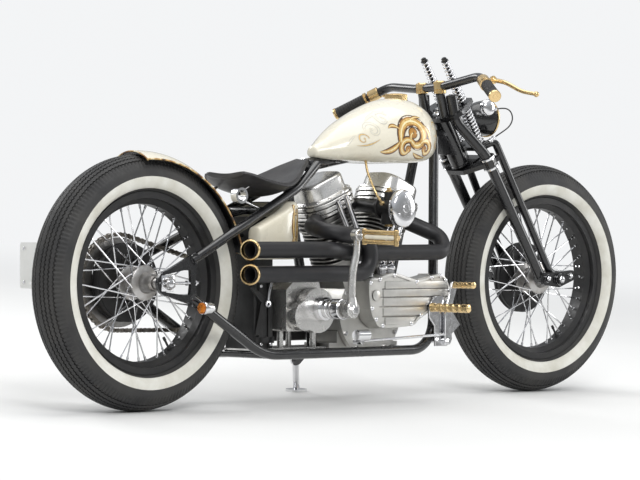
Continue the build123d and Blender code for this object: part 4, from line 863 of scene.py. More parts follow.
def add_gauge():
    """A round chrome case facing outward, its bezel, bracket and cable ferrules."""
    mesh = Mesh()
    face = Vector((GAUGE.x, -62.0, GAUGE.z))
    mesh.lathe(face, RIGHT, [(0, 0), (0, 23.5), (1.5, 25.0), (6, 25.0), (7, 24.2), (8, 25.0), (11, 25.0),
                                  (15, 23.6), (19, 20.2), (21.4, 15.0), (22.0, 8.0), (22.0, 0)], 56)
    mesh.rod((GAUGE.x, -66.0, GAUGE.z), (LAMP_RIM_X - 48, -26.0, LAMP_Z + 16), 6.0, 20)
    mesh.hexagon((GAUGE.x + 21, -78.0, GAUGE.z - 3.8), (1, 0, 0.1), 10.0, 5.0)
    mesh.rod((GAUGE.x + 26, -78.0, GAUGE.z - 3.3), (GAUGE.x + 29, -78.0, GAUGE.z - 3.0), 4.0, 16)
    top = Vector((HEAD.x + 181, -80.0, 763.0))
    foot = Vector((HEAD.x + 162, -74.6, 747.6))
    mesh.rod(foot, top, 5.0, 20)
    down = (top - foot).normalized()
    mesh.hexagon(top - down * 9, down, 12.5, 6.0)
    mesh.hexagon(top - down * 19, down, 12.5, 5.0)
    mesh.done("round_gauge", "fork", "chrome", replaces=["gauge"])


CABLE_ROUTE = ((186, -78, 845), (214, -81, 850), (240, -83, 842), (250, -84, 819), (238, -84, 796),
               (211, -82, 779), (181, -80, 763))
CABLE_RADIUS = 2.0


def add_cable():
    """Black cable from the gauge round to its fitting on the right sprung leg."""
    curve = bpy.data.curves.new("gauge_cable", "CURVE")
    curve.dimensions = "3D"
    curve.bevel_depth = CABLE_RADIUS * MM
    curve.bevel_resolution = 4
    curve.use_fill_caps = True
    spline = curve.splines.new("NURBS")
    spline.points.add(len(CABLE_ROUTE) - 1)
    for point, (ahead, y, z) in zip(spline.points, CABLE_ROUTE):
        place = fork_matrix @ Vector((HEAD.x + ahead, y, z))
        point.co = (*place, 1.0)
    spline.order_u = 3
    spline.use_endpoint_u = True
    curve.materials.append(materials["rubber"])
    cable = bpy.data.objects.new("gauge_cable", curve)
    bpy.context.scene.collection.objects.link(cable)
    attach(cable, "fork")
    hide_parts("control_cable")
    ahead, y, z = CABLE_ROUTE[0]


add_cable()
add_grips()
add_levers()
add_fork_details()
add_headlamp()
add_gauge()


# Pegs: turned brass with a spiral knurl, on chrome forks
CONTROLS_X = HEAD.x - 135.0
PEDAL_X = CONTROLS_X + 74.0
PEDAL_Z = 327
CONTROL_BOLTS = ((50, 145.8, 166, 13.0), (20, 132.8, 170, 11.0), (38, 132.8, 262, 11.0))


def spiral_peg(mesh, start, end, radius, turns, depth=2.6):
    """A bar with a bold spiral groove, a plain collar and a domed end."""
    start, end = Vector(start), Vector(end)
    along = (end - start).normalized()
    side, other = square_to(along)
    length = (end - start).length
    rings, around = int(length / 2.2), 32
    rows = []
    for i in range(rings + 1):
        share = i / rings
        reach = share * length
        plain = share < 0.08 or share > 0.93
        row = []
        for k in range(around):
            turn = 2 * math.pi * k / around
            groove = 0.0
            if not plain:
                wave = math.cos(turn - 2 * math.pi * turns * share)
                groove = depth * max(0.0, wave) ** 2
            edge = radius * (1.06 if share < 0.06 else 1.0) - groove
            row.append(start + along * reach + (side * math.cos(turn) + other * math.sin(turn)) * edge)
        rows.append(row)
    mesh.grid(rows, close_columns=True)
    mesh.add(rows[0][::-1], [tuple(range(around))])
    mesh.lathe(end, along, [(0, radius), (1.6, radius * 0.9), (2.6, radius * 0.6), (3.0, 0)], around)


def add_pegs():
    """Spiral brass pegs and pedals, the pedals' collars and the foot controls' bolts."""
    brass_pegs, chrome = Mesh(), Mesh()
    for _, sign in SIDES:
        out = (0, sign, 0)
        spiral_peg(brass_pegs, (CONTROLS_X - 6, sign * 133.5, 264), (CONTROLS_X + 9, sign * 262, 262),
                   12.5, 6.0)
        spiral_peg(brass_pegs, (PEDAL_X, sign * 147.8, PEDAL_Z), (PEDAL_X, sign * 222, PEDAL_Z),
                   9.5, 4.0, 2.0)
        chrome.lathe((PEDAL_X, sign * 136, PEDAL_Z), out,
                     [(0, 4), (0, 8.5), (2, 9.5), (11, 9.5), (11.8, 8), (11.8, 4)], 24)
        for ahead, y, z, size in CONTROL_BOLTS:
            chrome.hexagon((CONTROLS_X + ahead, sign * y, z), out, size, 5.0)
    brass_pegs.done("spiral_pegs", "chassis", "brass", replaces=["foot_pegs"])
    chrome.done("peg_fasteners", "chassis", "chrome")


# Foot controls: an angular plate on the rail, a flat pedal arm, the brake rod and its cylinder
CONTROL_PLATE = [(8, 152), (60, 152), (64, 176), (114, 212), (62, 272), (38, 297), (2, 294), (-14, 268),
                 (-15, 236), (6, 212)]
PEDAL_ARM = [(36, 160), (58, 156), (66, 172), (60, 250), (86, 318), (84, 334), (66, 336), (38, 256)]
CONTROL_PINS = (
    # ahead of the controls' place, near end, far end, height, radius
    (20, 108, 130, 170, 9.0), (38, 92, 130, 262, 9.0), (50, 133, 142, 166, 12.0),
)


def add_foot_controls():
    mesh = Mesh()
    for _, sign in SIDES:
        mesh.plate(CONTROL_PLATE, ((CONTROLS_X, 3 + sign * 130, 0), FORWARD, UP), 6.0, bevel=1.2)
        mesh.plate(PEDAL_ARM, ((CONTROLS_X, 3.5 + sign * 142.5, 0), FORWARD, UP), 7.0, bevel=1.6)
        for ahead, near, far, z, radius in CONTROL_PINS:
            mesh.rod((CONTROLS_X + ahead, sign * near, z), (CONTROLS_X + ahead, sign * far, z), radius, 24)
    mesh.rod((722, -130, 174), (CONTROLS_X + 46, -138, 186), 4.0, 16)
    mesh.rod((690, -130, 190), (738, -130, 190), 16.0, 32, edge=2.0)
    mesh.rod((714, -100, 172), (714, -134, 172), 8.0, 20)
    mesh.done("foot_control_plates", "chassis", "chrome", replaces=["foot_controls"])


# Kick pedal: three round slats between end bars, the middle one pale
PEDAL_INNER = Vector((578, -276, 466))
PEDAL_OUTER = Vector((600, -375, 462))


def add_kick_pedal():
    mesh = Mesh()
    run = PEDAL_OUTER - PEDAL_INNER
    length = run.length
    for rise, slot in ((-13.4, 0), (0.0, 1), (13.4, 0)):
        mesh.lathe(PEDAL_INNER + Vector((0, 0, rise)), run,
                   [(0, 0), (0, 4.8), (1.6, 6.4), (length - 1.6, 6.4), (length, 4.8), (length, 0)],
                   28, slot=slot)
    for centre in (PEDAL_INNER, PEDAL_OUTER):
        mesh.rod(centre + Vector((0, 0, -22)), centre + Vector((0, 0, 22)), 7.0, 24, edge=1.6)
    mesh.lathe(PEDAL_OUTER + run.normalized() * 5.5, run, [(0, 9.0), (1.6, 9.0), (2.6, 7.6), (2.6, 0)], 24)
    mesh.done("kick_pedal_bars", "chassis", ("brass", "cream"), replaces=["kick_pedal"])


# Chain: rollers, inner and outer link plates along its pitch line
CHAIN_PITCH = 15.875
CHAIN_LINKS = 107
REAR_TEETH = 51
GEARBOX_TEETH = 24
CHAIN_Y = 81.0
GEARBOX = (545.0, 267.0)
SPROCKET_THICK = 4.6
SPROCKET_SPOKES = 5
SPOKE_SPINE = ((52.0, 15.0), (70.0, 11.0), (90.0, 13.0))
NOTCH_STEPS = (
    # share of a tooth's width, depth inside the circle of the rollers
    (0.0, 8.0), (0.2, 8.0), (0.38, 8.0), (0.47, 8.2), (0.53, 8.2), (0.62, 8.0), (0.8, 8.0),
)


def pitch_radius(teeth):
    """Radius of the circle that a sprocket's rollers lie on."""
    return CHAIN_PITCH / (2 * math.sin(math.pi / teeth))


def chain_points():
    """Pin centres along the loop, evenly spaced, as (x, z)."""
    big, small = pitch_radius(REAR_TEETH), pitch_radius(GEARBOX_TEETH)
    rise = GEARBOX[1] - TYRE_RADIUS
    span = math.hypot(GEARBOX[0], rise)
    tilt = math.atan2(rise, GEARBOX[0])
    wrap = math.acos((big - small) / span)
    straight = math.sqrt(span**2 - (big - small) ** 2)
    front_arc, rear_arc = 2 * wrap * small, (2 * math.pi - 2 * wrap) * big
    total = 2 * straight + front_arc + rear_arc

    def on_rear(angle):
        return big * math.cos(angle), TYRE_RADIUS + big * math.sin(angle)

    def on_front(angle):
        return GEARBOX[0] + small * math.cos(angle), GEARBOX[1] + small * math.sin(angle)

    def on_run(angle, share):
        back, ahead = on_rear(angle), on_front(angle)
        return tuple(a + (b - a) * share for a, b in zip(back, ahead))

    points = []
    for k in range(CHAIN_LINKS):
        along = total * k / CHAIN_LINKS
        if along < straight:
            points.append(on_run(tilt + wrap, along / straight))
        elif along < straight + front_arc:
            points.append(on_front(tilt + wrap - (along - straight) / small))
        elif along < 2 * straight + front_arc:
            points.append(on_run(tilt - wrap, 2 - (along - front_arc) / straight))
        else:
            points.append(on_rear(tilt - wrap - (along - 2 * straight - front_arc) / big))
    return points


def link_plate(mesh, start, end, y, thickness, height, waist):
    """A side plate round two pins, narrower between them."""
    run = Vector((end[0] - start[0], end[1] - start[1]))
    middle = Vector(((start[0] + end[0]) / 2, y, (start[1] + end[1]) / 2))
    heading = math.atan2(run.y, run.x)
    half = run.length / 2
    outline = []
    for centre, first in ((half, -70), (-half, 110)):
        for k in range(6):
            turn = math.radians(first + 28 * k)
            outline.append((centre + height * math.cos(turn), height * math.sin(turn)))
        outline.append((0.0, waist if first < 0 else -waist))
    along = Vector((math.cos(heading), 0, math.sin(heading)))
    above = Vector((-math.sin(heading), 0, math.cos(heading)))
    ring = [middle + along * a + above * b for a, b in outline]
    mesh.prism(ring, [p + LEFT * thickness for p in ring])


def add_chain():
    mesh = Mesh()
    points = chain_points()
    for k, (x, z) in enumerate(points):
        mesh.lathe((x, CHAIN_Y - 4.6, z), LEFT, [(0, 0), (0, 5.0), (9.2, 5.0), (9.2, 0)], 10)
        mesh.lathe((x, CHAIN_Y - 9.2, z), LEFT, [(0, 0), (0, 2.4), (18.4, 2.4), (18.4, 0)], 8)
        gap = 7.6 if k % 2 else 5.7
        for side in (-1, 1):
            link_plate(mesh, (x, z), points[(k + 1) % CHAIN_LINKS], CHAIN_Y + side * gap - 0.8, 1.6, 6.4, 4.3)
    mesh.done("roller_chain", "chassis", "chain_steel", replaces=["drive_chain"])


def add_rear_sprocket():
    """A disc that ends just inside the chain, on five spokes, with its hub and bolts."""
    mesh = Mesh()
    first_pin = chain_points()[-1]
    phase = math.degrees(math.atan2(first_pin[1] - TYRE_RADIUS, first_pin[0]))
    near, far = CHAIN_Y - SPROCKET_THICK / 2, CHAIN_Y + SPROCKET_THICK / 2

    def place(y, radius, degrees):
        return around((0, y, TYRE_RADIUS), radius, phase + degrees)

    rows = []
    steps = len(NOTCH_STEPS)
    for k in range(REAR_TEETH * steps):
        share, depth = NOTCH_STEPS[k % steps]
        outer = (pitch_radius(REAR_TEETH) - depth, 360 * (k // steps + share) / REAR_TEETH)
        turn = 360 * k / (REAR_TEETH * steps)
        inner = (92.0 + 5.0 * math.cos(math.radians(SPROCKET_SPOKES * turn)), turn)
        rows.append([place(near, *outer), place(far, *outer), place(far, *inner), place(near, *inner)])
    mesh.grid(rows, close_rows=True, close_columns=True)
    for k in range(SPROCKET_SPOKES):
        turn = 360 * (k + 0.5) / SPROCKET_SPOKES
        left = [(math.hypot(r, half), turn + math.degrees(math.atan2(half, r))) for r, half in SPOKE_SPINE]
        right = [(r, 2 * turn - degrees) for r, degrees in reversed(left)]
        mesh.prism([place(near, *p) for p in left + right], [place(far, *p) for p in left + right])
    mesh.lathe((0, 66.3, TYRE_RADIUS), LEFT,
               [(0, 10), (0, 42), (12, 42), (12.3, 56), (17.0, 56), (17.0, 30), (17.2, 10), (0, 10)], 64)
    bolt_ring(mesh, (0, 83.3, TYRE_RADIUS), LEFT, 42.0, 5, 13.0, 5.0, start=18)
    mesh.done("toothed_sprocket", "rear_wheel", "steel", replaces=["rear_sprocket"])


AXLE_PLATE_Y = 115
AXLE_PLATE_END = 34.0
AXLE_WINDOW = [((88, -58), (56, -31)), ((110, -46), (80, -31)), ((98, 0), (84, 0)), ((110, 62), (82, 34)),
               ((90, 76), (58, 34))]


def add_axle_plate(mesh, sign):
    """A side plate with a window, round behind the axle, and the two bosses ahead of it."""
    window = []
    for k in range(9):
        turn = math.radians(90 + 22.5 * k)
        reach = Vector((math.cos(turn), math.sin(turn)))
        window.append((reach * AXLE_PLATE_END, reach * 24.0))
    window += [(Vector(outer), Vector(inner)) for outer, inner in AXLE_WINDOW]
    near, far = sign * AXLE_PLATE_Y - 5, sign * AXLE_PLATE_Y + 5
    rows = [[Vector((p.x, y, TYRE_RADIUS + p.y))
             for p, y in ((outer, near), (inner, near), (inner, far), (outer, far))]
            for outer, inner in window]
    mesh.grid(rows, close_rows=True, close_columns=True)
    for x, rise in ((97.0, 66.0), (98.0, -49.0)):
        place = (x, sign * 119.6, TYRE_RADIUS + rise)
        mesh.lathe(place, (0, sign, 0),
                   [(0, 14.5), (2.4, 14.5), (3.4, 13.5), (3.4, 8.5), (1.0, 8.0), (1.0, 0)], 28)
        mesh.hexagon(place, (0, sign, 0), 11.0, 2.6)


def add_axle_details():
    """Rear axle nuts and washers, chain adjusters and the windowed plates."""
    chrome, black = Mesh(), Mesh()
    for _, sign in SIDES:
        out = (0, sign, 0)
        beside = sign * AXLE_PLATE_Y
        chrome.lathe((0, sign * 120.0, TYRE_RADIUS), out,
                     [(0, 10), (0, 19.5), (2.0, 19.5), (2.4, 18.6), (2.4, 10)], 36)
        chrome.hexagon((0, sign * 122.2, TYRE_RADIUS), out, 30.0, 12.2)
        chrome.lathe((0, sign * 136.6, TYRE_RADIUS), out, [(0, 9.7), (0.6, 9.7), (1.0, 8.4), (1.0, 0)], 24)
        chrome.box((2, beside, TYRE_RADIUS), (46, 11.6, 43), 3.0)
        chrome.rod((20, beside, TYRE_RADIUS), (112, beside, TYRE_RADIUS), 3.8, 16)
        for x in (71.0, 100.0):
            chrome.hexagon((x, beside, TYRE_RADIUS), FORWARD, 13.0, 6.0)
        add_axle_plate(black, sign)
    chrome.done("rear_axle_fittings", "chassis", "chrome")
    black.done("slotted_axle_plates", "chassis", "black_gloss", replaces=["axle_plates"])


def add_drum_bands(end, x, right_face, left_face):
    """Two raised bands round a drum and the bolts in its face."""
    mesh = Mesh()
    for y in (right_face + 2, left_face - 5):
        mesh.lathe((x, y, TYRE_RADIUS), LEFT,
                   [(0, 102.6), (0.4, 105.6), (3.6, 105.6), (4.0, 102.6), (0, 102.6)], 72)
    bolt_ring(mesh, (x, right_face + 0.2, TYRE_RADIUS), RIGHT, 66.0, 10, 9.0, 3.6)
    mesh.done(f"{end}_drum_bands", f"{end}_wheel", "black_satin", slot_name="drum_black")


def add_brake_plate_details():
    """Ribs, centre ring and cam boss on the front brake's plate."""
    mesh = Mesh()
    face = (WHEELBASE, 64.0, TYRE_RADIUS)
    sunk = (WHEELBASE, 62.8, TYRE_RADIUS)
    for k in range(8):
        degrees = 45 * k + 12
        mesh.tube([around(sunk, 34, degrees), around(sunk, 92, degrees)], [3.6, 2.4], 8)
    mesh.lathe(Vector(face) - LEFT, LEFT, [(0, 18), (0, 30), (3.5, 27), (3.5, 18), (0, 18)], 40)
    cam = Vector((WHEELBASE - 58, 63.0, TYRE_RADIUS + 30))
    mesh.lathe(cam, LEFT, [(0, 0), (0, 13), (6, 12), (9, 8.5), (14, 8.5), (14, 0)], 28)
    mesh.done("brake_plate_ribs", "fork", "black_satin", slot_name="drum_black")


add_pegs()
add_foot_controls()
add_kick_pedal()
add_chain()
add_rear_sprocket()
add_drum_bands("rear", 0.0, 36.0, 66.0)
add_drum_bands("front", WHEELBASE, 33.0, 56.0)
add_axle_details()
add_brake_plate_details()


# Seat: a dished saddle with a high rear lip and a piped edge, padded and covered
SEAT_STATIONS = (
    # x, half width, height in the middle, height at the edge, thickness
    (318.0, 84.0, 622.0, 632.0, 16.0),
    (336.0, 104.0, 604.0, 622.0, 22.0),
    (366.0, 121.0, 585.0, 607.0, 26.0),
    (430.0, 126.0, 574.0, 596.0, 28.0),
    (480.0, 108.0, 590.0, 608.0, 27.0),
    (520.0, 84.0, 612.0, 626.0, 25.0),
    (560.0, 56.0, 638.0, 647.0, 23.0),
    (602.0, 27.0, 664.0, 669.0, 18.0),
)
SEAT_ROWS = 44
SEAT_ROUND = 15
STITCH_RISE = 0.25


def smooth_rows(stations, count):
    """Stations along a piece, filled in between by smooth curves."""
    keys = [Vector(row[:3]) for row in stations]
    others = [Vector((row[0], row[3], row[4])) for row in stations]
    steps = max(2, round(count / (len(stations) - 1)))
    first, second = smooth_path(keys, steps), smooth_path(others, steps)
    return [(a.x, a.y, a.z, b.y, b.z) for a, b in zip(first, second)]


def saddle_ring(x, half, middle, edge, thick, grow=0.0):
    """A closed cross-section: dished top, rolled rim and a flat pan below."""
    top, below = [], []
    for k in range(SEAT_ROUND * 2 + 1):
        share = k / SEAT_ROUND - 1.0
        across = half * share
        lift = middle + (edge - middle) * share**2
        rim = max(0.0, 1.0 - abs(share) ** 7)
        cushion = thick * (0.25 + 0.75 * rim**0.5) + grow
        top.append(Vector((x, across, lift + cushion)))
        below.append(Vector((x, across * 0.985, lift + thick * 0.2 * (1 - rim) + 0.8)))
    return top + below[::-1]


def grown_ring(ring, scale, shift):
    """A ring drawn in towards its middle and moved along the bike."""
    centre = sum(ring, Vector()) / len(ring)
    return [centre + (p - centre) * scale + Vector((shift, 0, 0)) for p in ring]


def add_seat():
    mesh = Mesh()
    stations = smooth_rows(SEAT_STATIONS, SEAT_ROWS)
    rows = [saddle_ring(*station) for station in stations]
    tail, nose = rows[0], rows[-1]
    for scale, push in ((0.97, 3.0), (0.86, 6.0)):
        rows = [grown_ring(tail, scale, -push)] + rows + [grown_ring(nose, scale, push)]
    mesh.loft(rows)
    piece = mesh.done("saddle_cover", "chassis", "leather", sharp=70, replaces=["seat"])
    piping = Mesh()
    for sign in (-1, 1):
        seam = [Vector((x, sign * (half + 0.2), edge + thick * 0.28)) for x, half, _, edge, thick in stations]
        piping.tube(seam, 2.6, 10)
        for a, b in zip(seam[1:], seam[2:]):
            start, end = a.lerp(b, 0.15), a.lerp(b, 0.7)
            up = Vector((0, -sign * 5.0, thick_at(start.x) * STITCH_RISE))
            piping.tube([start + up, end + up], 0.7, 6)
    piping.done("saddle_piping", "chassis", "leather", sharp=70)


def thick_at(x):
    """Cushion thickness at a station, straight between the table's rows."""
    for a, b in zip(SEAT_STATIONS, SEAT_STATIONS[1:]):
        if a[0] <= x <= b[0]:
            return a[4] + (b[4] - a[4]) * (x - a[0]) / (b[0] - a[0])
    return SEAT_STATIONS[-1][4]


# Fuel tank: a teardrop shell with a rolled lower seam and a round tail
TANK_REAR = 648.0
TANK_FRONT = HEAD.x - 57.0
TANK_ROWS = (
    # share of the tank's length, half width, bottom, top, corner
    (0.0, 22.0, 688.0, 722.0, 14.0), (0.05, 38.0, 685.0, 735.0, 20.0), (0.121, 58.0, 682.0, 758.0, 27.0),
    (0.22, 80.0, 680.0, 787.0, 35.0), (0.33, 98.0, 678.0, 812.0, 42.0), (0.46, 112.0, 676.5, 837.0, 47.0),
    (0.586, 120.0, 676.0, 856.0, 50.0), (0.7, 123.0, 676.5, 864.5, 52.0), (0.795, 121.5, 679.0, 864.0, 52.0),
    (0.87, 112.5, 683.0, 857.0, 50.0), (0.935, 95.0, 691.0, 845.0, 45.0), (0.975, 74.0, 703.0, 830.0, 38.0),
    (0.993, 57.0, 713.0, 817.0, 31.0), (1.0, 46.0, 720.0, 808.0, 26.0),
)
TANK_ARCS = 14
END_RINGS = 7
CAP_RIDGES = 48


def dome_ring(x, half, bottom, top, corner):
    """The tank's section: flat below, round lower corners and one arc over the top."""
    height = top - bottom
    flat = half - corner
    crown = (flat**2 + (height - corner) ** 2 - corner**2) / (2 * (height - 2 * corner))
    centre = top - crown
    reach = Vector((flat, bottom + corner - centre))
    start = math.atan2(reach.y, reach.x)
    ring = []
    for k in range(TANK_ARCS + 1):
        turn = -math.pi / 2 + (start + math.pi / 2) * k / TANK_ARCS
        ring.append((flat + corner * math.cos(turn), bottom + corner + corner * math.sin(turn)))
    for k in range(1, TANK_ARCS + 1):
        turn = start + (math.pi / 2 - start) * k / TANK_ARCS
        ring.append((crown * math.cos(turn), centre + crown * math.sin(turn)))
    full = ring + [(-y, z) for y, z in reversed(ring[:-1])]
    return [Vector((x, y, z)) for y, z in full]


def tank_rows():
    """The tank's sections, filled in between the given ones by smooth curves."""
    length = TANK_FRONT - TANK_REAR
    stations = [(share * length + TANK_REAR, *sizes) for share, *sizes in TANK_ROWS]
    keys = [Vector((x, half, bottom)) for x, half, bottom, _, _ in stations]
    more = [Vector((x, top, corner)) for x, _, _, top, corner in stations]
    return [dome_ring(a.x, a.y, a.z, b.y, b.z) for a, b in zip(smooth_path(keys, 4), smooth_path(more, 4))]


def closed_ends(rows, reaches):
    """Round off a loft's first and last rings towards their middles."""
    first, last = rows[0], rows[-1]
    for k in range(1, END_RINGS + 1):
        turn = math.pi / 2 * k / (END_RINGS + 1)
        rows = ([grown_ring(first, math.cos(turn), -reaches[0] * math.sin(turn))] + rows
                + [grown_ring(last, math.cos(turn), reaches[1] * math.sin(turn))])
    return rows


def add_tank():
    mesh = Mesh()
    mesh.loft(closed_ends(tank_rows(), (9.0, 7.0)))
    return mesh.done("tank_shell", "chassis", "cream", sharp=60, replaces=["fuel_tank"])


# Paint work: generic scrolls as thin raised bands that follow the painted shell


PAINT_REACH = 400.0
COAT_RISE = 0.16
SCROLL_STEPS = 46
SCROLL_SHRINK = 0.78
LEAF_STEPS = 24


def swelling(width, share):
    """Width of a scroll's band: it swells early on and thins out towards its end."""
    return width * (0.35 + 1.1 * math.sin(math.pi * min(1.0, share * 0.9 + 0.12)) * (1 - 0.55 * share))


def pointed(width, share):
    """Width of a leaf: pointed at both ends."""
    return max(0.4, width * math.sin(math.pi * share) ** 0.8)


def steady(width, share):
    """Width of a scroll's end knob, the same all round."""
    return width * 0.55


class Painter:
    """Lays flat bands of colour on one side of a shell, projected along the bike's width."""

    def __init__(self, piece, sign):
        inverse = chassis_matrix.inverted()
        points = [inverse @ v.co for v in piece.data.vertices]
        self.tree = BVHTree.FromPolygons(points, [tuple(p.vertices) for p in piece.data.polygons])
        self.sign = sign
        self.mesh = Mesh()

    def on_shell(self, x, z, lift):
        """The shell's point at a place seen from the side, or None beside the shell."""
        start = Vector((x, self.sign * PAINT_REACH, z))
        hit, normal, _, _ = self.tree.ray_cast(start, Vector((0, -self.sign, 0)))
        if hit is None:
            return None
        if normal.y * self.sign < 0:
            normal = -normal
        return hit + normal * lift

    def band(self, path, width_at, lift, slot):
        """A band of changing width along a flat path of (x, z) points."""
        left, crown, right = [], [], []
        last = len(path) - 1
        for i, (x, z) in enumerate(path):
            before, after = path[max(i - 1, 0)], path[min(i + 1, last)]
            run = Vector((after[0] - before[0], after[1] - before[1]))
            if run.length < 1e-6:
                continue
            run.normalize()
            half = width_at(i / last) / 2
            spots = (self.on_shell(x - run.y * half, z + run.x * half, lift),
                     self.on_shell(x, z, lift + 0.12),
                     self.on_shell(x + run.y * half, z - run.x * half, lift))
            if None not in spots:
                for row, spot in zip((left, crown, right), spots):
                    row.append(spot)
        if len(left) > 2:
            self.mesh.grid([left, crown, right], slot=slot)

    def coats(self, path, widths, width, lift, coats):
        """The same band in several colours, each narrower and a little higher than the last."""
        for index, (slot, scale) in enumerate(coats):
            self.band(path, partial(widths, width * scale), lift + COAT_RISE * index, slot)

    def scroll(self, centre, radius, start, sweep, width, lift, coats):
        """A spiral band that ends in a round knob."""
        path = []
        for k in range(SCROLL_STEPS + 1):
            share = k / SCROLL_STEPS
            turn = math.radians(start + sweep * share)
            reach = radius * (1 - SCROLL_SHRINK * share)
            path.append((centre[0] + reach * math.cos(turn), centre[1] + reach * math.sin(turn)))
        self.coats(path, swelling, width, lift, coats)
        x, z = path[-1]
        turns = [2 * math.pi * k / 14 for k in range(15)]
        knob = [(x + width * 0.34 * math.cos(t), z + width * 0.34 * math.sin(t)) for t in turns]
        self.coats(knob, steady, width, lift + 0.02, coats[:2])

    def leaf(self, start, bend, end, width, lift, coats):
        """A curved pointed leaf between two points."""
        path = []
        for k in range(LEAF_STEPS + 1):
            t = k / LEAF_STEPS
            path.append(tuple((1 - t) ** 2 * a + 2 * t * (1 - t) * b + t * t * c
                              for a, b, c in zip(start, bend, end)))
        self.coats(path, pointed, width, lift, coats)


# Coats of paint: which of the scroll paints, and its share of the band's width
FULL = ((0, 1.15), (1, 0.8), (2, 0.55), (3, 0.16))
GHOST = ((4, 1.0), (5, 0.55))
GREY_GOLD = ((4, 1.0), (5, 0.7), (2, 0.3))
AMBER_GOLD = ((1, 1.0), (5, 0.7), (2, 0.3))
GREY_PALE = ((4, 1.0), (5, 0.6))
GREY_LINE = ((4, 1.0), (2, 0.4))
TANK_PAINT = (
    # scrolls: centre, radius, first angle, sweep; leaves: start, bend, end; then width, lift, coats
    ("scroll", (935, 752), 54, 200, -430, 26, 0.25, FULL),
    ("scroll", (903, 716), 30, 20, 330, 17, 0.45, FULL),
    ("scroll", (978, 716), 27, 150, -330, 16, 0.45, FULL),
    ("leaf", (880, 740), (860, 702), (812, 706), 19, 0.35, FULL),
    ("leaf", (884, 770), (862, 790), (846, 772), 11, 0.3, FULL),
    ("leaf", (962, 790), (1000, 770), (996, 726), 14, 0.3, FULL),
    ("leaf", (930, 706), (950, 690), (990, 692), 10, 0.5, FULL),
    ("leaf", (918, 790), (940, 812), (972, 806), 9, 0.3, FULL),
    ("scroll", (1030, 780), 26, 250, 380, 11, 0.25, GREY_GOLD),
    ("scroll", (1036, 735), 22, 90, -360, 10, 0.25, AMBER_GOLD),
    ("leaf", (1014, 800), (1004, 765), (1020, 722), 10, 0.3, GREY_PALE),
    ("leaf", (1046, 808), (1058, 780), (1050, 750), 8, 0.3, GREY_PALE),
    ("scroll", (842, 800), 22, 30, 400, 8, 0.25, GHOST),
    ("scroll", (800, 766), 24, 180, -400, 8, 0.25, GHOST),
    ("scroll", (765, 740), 17, 10, 380, 6, 0.25, GREY_LINE),
    ("leaf", (862, 822), (820, 816), (790, 790), 8, 0.25, GHOST),
    ("leaf", (815, 742), (780, 718), (742, 722), 8, 0.25, GREY_LINE),
    ("leaf", (748, 752), (728, 738), (716, 716), 6, 0.25, GHOST),
)


def add_filler_cap():
    """A turned cap with fine grip ridges round its rim."""
    mesh = Mesh()
    centre = Vector((TANK_REAR + 0.774 * (TANK_FRONT - TANK_REAR), 0, 858.0))
    profile = [(0, 34.5), (2.5, 34.5), (3.2, 32.6), (4.0, 33.0), (17.5, 33.0), (19.0, 31.4), (20.4, 27.0),
               (21.4, 17.0), (21.8, 0)]
    steps = CAP_RIDGES * 4
    rings = []
    for k in range(steps):
        turn = 2 * math.pi * k / steps
        groove = 0.7 if k % 4 < 2 else 0.0
        out = Vector((math.cos(turn), math.sin(turn), 0))
        rings.append([centre + UP * rise + out * (radius - (groove if 3 <= j <= 5 else 0.0))
                      for j, (rise, radius) in enumerate(profile)])
    mesh.grid(rings, close_rows=True)
    mesh.done("filler_cap", "chassis", "brass", replaces=["fuel_cap"])


def paint_tank(piece):
    """Three groups of scrolls: a large one amidships, one at the front and pale ones behind."""
    for side, sign in SIDES:
        painter = Painter(piece, sign)
        for kind, *shape in TANK_PAINT:
            if kind == "scroll":
                painter.scroll(*shape)
            else:
                painter.leaf(*shape)
        painter.mesh.done(f"tank_scrolls_{side}", "chassis", SCROLL_PAINTS, sharp=80)


tank_shell = add_tank()
add_filler_cap()
paint_tank(tank_shell)
add_seat()


# Engine: banded rocker covers, air cleaner, fasteners and small fittings
CRANK = (810.0, 250.0)
VEE = (-22.5, 22.5)
PAN_START = 346.0


def barrel_frame(angle):
    """Directions along, across and up a barrel that leans by an angle."""
    turn = math.radians(angle)
    up = Vector((math.sin(turn), 0, math.cos(turn)))
    return Vector((up.z, 0, -up.x)), LEFT, up


def rounded_ring(centre, along, across, length, width, corner, steps=7):
    """Points round a rectangle with round corners."""
    ring = []
    for quarter, (a, b) in enumerate(((1, 1), (-1, 1), (-1, -1), (1, -1))):
        for k in range(steps + 1):
            turn = math.pi / 2 * (quarter + k / steps)
            x = a * (length / 2 - corner) + corner * math.cos(turn)
            y = b * (width / 2 - corner) + corner * math.sin(turn)
            ring.append(centre + along * x + across * y)
    return ring


